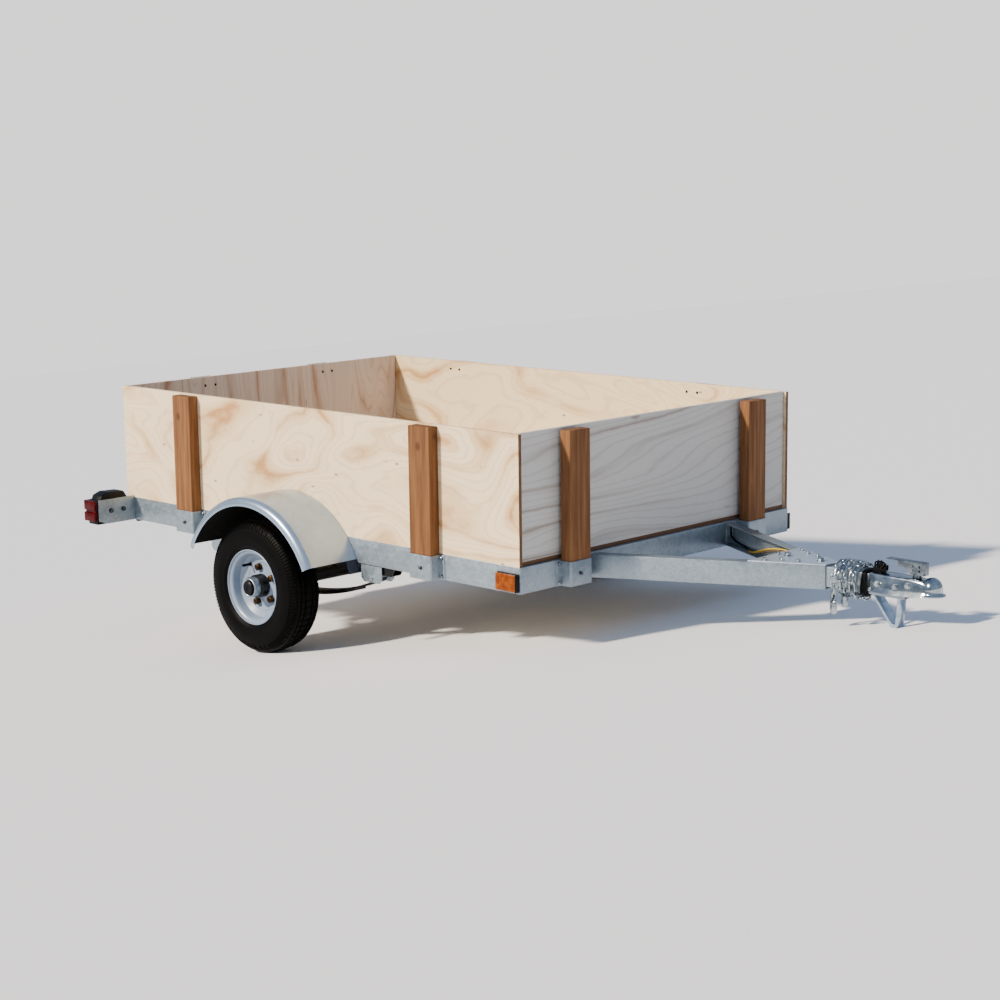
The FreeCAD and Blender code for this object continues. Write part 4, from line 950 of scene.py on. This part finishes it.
def lamp_lens():
    """Red lens in two moulded steps with a groove between them, over the rear face and round the outer side."""
    step = [(650, lamp_back), (650, -936), (664, -941), (776, -941), (781, -936), (781, -880), (779, lamp_front),
            (769.5, lamp_front), (769.5, lamp_back)]
    groove = [(655, lamp_back), (655, -935), (775, -935), (775, -880), (769.5, -880), (769.5, lamp_back)]
    layers = [pressed(step, -40.5, -12, 1.2), pressed(groove, -50, -40, 0.4), pressed(step, -80, -49.5, 1.2)]
    for i in range(11):
        for z in (26, 65):
            bpy.ops.mesh.primitive_cylinder_add(vertices=12, radius=1.6 * mm, depth=22 * mm)
            flute = bpy.context.object
            flute.location = Vector((666 + 10.8 * i, -z, -941)) * mm
            flute.rotation_euler = (math.pi / 2, 0, 0)
            layers.append(modified(applied(flute), "BEVEL", width=0.0006, segments=2, limit_method="ANGLE"))
    lens = joined(layers)
    lens.matrix_world = Matrix.Rotation(-math.pi / 2, 4, "X")
    lens = settled(mirrored(lens), "lamp_lenses", shade_darkened_red_lens)
    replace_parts(lens, "tail_lenses")


def marker_prisms():
    """The amber markers' faces: rows of low moulded pyramids."""
    bpy.ops.mesh.primitive_cone_add(vertices=4, radius1=6.2 * mm, depth=1.6 * mm)
    pyramid = picked(bpy.context.object)
    bpy.ops.transform.rotate(value=math.pi / 4, orient_axis="Z", center_override=(0, 0, 0))
    places = [(Vector((side * (half_width + 18.6), 849 + 9.2 * i, 18.5 + 9.6 * j)), (side, 0, 0))
              for side in (1, -1) for i in range(7) for j in range(4)]
    scattered(pyramid, ("marker_prisms", amber_acrylic, places, "frame", 0))


def rail_clips():
    """Black cable clips under the rear ends of the side rails."""
    clips = []
    for side in (1, -1):
        bpy.ops.mesh.primitive_cube_add(size=1, location=Vector((side * 600, -877, -4)) * mm)
        clip = bpy.context.object
        clip.dimensions = Vector((22, 15, 8)) * mm
        clips.append(modified(applied(clip), "BEVEL", width=0.0015, segments=2))
    settled(joined(clips), "rail_clips", black_abs)


# Building the dressed trailer

for label, side in (("right", 1), ("left", -1)):
    for make in (tyre, rim, hub, lug_nuts, valve, mudguard):
        make(side, label)
    dressed("side_rail_" + label, galvanised_rail, 2)
    dressed("tongue_arm_" + label, galvanised_arm, 2.2)
    dressed("leaf_spring_" + label, black_enamel, 0.8)
    dressed("spring_hangers_" + label, galvanised_arm, 0.8)
    dressed("pockets_" + label, galvanised_rail, 1.2)
    dressed("stakes_" + label, brown_timber, 2.5)
    finished(side_ply, "side_panel_" + label)
    finished(black_enamel, "spring_carrier_" + label)
for end in ("front", "rear"):
    dressed(end + "_rail", galvanised_rail, 2)
    dressed("pockets_" + end, galvanised_rail, 1.2)
    dressed("stakes_" + end, brown_timber, 2.5)
finished(shade_greyed_front_ply, "front_panel")
finished(pink_shaded_rear_ply, "rear_panel")
finished(deck_ply, "deck")
dressed("cross_members", galvanised_rail, 1.5)
dressed("tongue_tube", galvanised_arm, 2.5)
dressed("tongue_gusset", galvanised_plate, 1)
coupler()
dressed("coupler_latch", latch_zinc, 0.7)
dressed("tongue_foot", strap_zinc, 1, 50)
dressed("chain_hooks", bright_zinc, 2, 60)
dressed("cable_plug", black_pvc, 1)
dressed("lamp_brackets", galvanised_rail, 1)
dressed("marker_bases", black_abs, 1)
dressed("marker_lenses", amber_acrylic, 0.8)
dressed("mudguard_brackets", navy_enamel, 1)
dressed("spring_clamps", black_enamel, 1)
dressed("axle_beam", black_enamel)
finished(black_enamel, "axle_pads")
finished(latch_zinc, "coupler_clamp")
fasteners()
wound_chains()
tongue_cable()
arm_wires()
lamp_body()
lamp_lens()
marker_prisms()
rail_clips()


# Studio: pale floor, one warm soft sun from the trailer's right and rear, and a cool sky all round

floor_tint, sun_tint, backdrop_tint = "#f1f2f4", "#fff0dc", "#fdfbfa"
treeline_tint, horizon_tint, sky_tint, zenith_tint = "#6f7a88", "#8c9aab", "#b5c6df", "#9fb6dc"
bpy.ops.mesh.primitive_plane_add(size=400, location=(0, 0, -0.0005))
floor = bpy.context.object
floor.name = "studio_floor"
paint, paint_tree, paint_shader = new_material("matt_floor_paint", 0.9, shine=0.1)
fed(paint_tree, paint_shader, {"Base Color": colour(floor_tint)})
floor.data.materials.append(paint)

sun_from = tip @ Vector((0.782, -0.297, 0.547))
bpy.ops.object.light_add(type="SUN")
sun = bpy.context.object
sun.rotation_euler = facing_turn(sun_from).to_euler()
sun.data.energy = 7.4
sun.data.angle = math.radians(5)
sun.data.color = colour(sun_tint)[:3]

world = bpy.data.worlds.new("pale_studio")
bpy.context.scene.world = world
world.use_nodes = True
sky = world.node_tree
sky.nodes.clear()
seen = add(sky, "LightPath")
ray = add(sky, "SeparateXYZ", {0: add(sky, "TexCoord").outputs["Generated"]})
height = add(sky, "ValToRGB", {0: ray.outputs["Z"]},
             stops=[(0, treeline_tint), (0.06, horizon_tint), (0.17, sky_tint), (1, zenith_tint)])
lit = add(sky, "Background", {"Color": height, "Strength": 0.8})
back = add(sky, "Background", {"Color": colour(backdrop_tint), "Strength": 1.5})
chosen = add(sky, "MixShader", {0: seen.outputs["Is Camera Ray"], 1: lit, 2: back})
add(sky, "OutputWorld", {"Surface": chosen})

# Camera at the photograph's viewing angle, fitted to the level trailer and tipped with it

camera_place = Vector((4721.27, 4844.19, 1265.15)) * mm
azimuth, elevation, roll = math.radians(225.71), math.radians(-9.95), math.radians(-0.73)
focal_share = 2.08926
look = Vector((math.sin(azimuth) * math.cos(elevation), math.cos(azimuth) * math.cos(elevation), math.sin(elevation)))
right = Vector((math.cos(azimuth), -math.sin(azimuth), 0))
above_line = right.cross(look)
camera_right = math.cos(roll) * right + math.sin(roll) * above_line
camera_up = -math.sin(roll) * right + math.cos(roll) * above_line
turn = Matrix((camera_right, camera_up, -look)).transposed().to_4x4()
bpy.ops.object.camera_add()
camera = bpy.context.object
camera.matrix_world = parked @ Matrix.Translation(camera_place) @ turn
camera.data.sensor_width = 36
camera.data.lens = focal_share * camera.data.sensor_width
camera.data.clip_end = 1000
bpy.context.scene.camera = camera
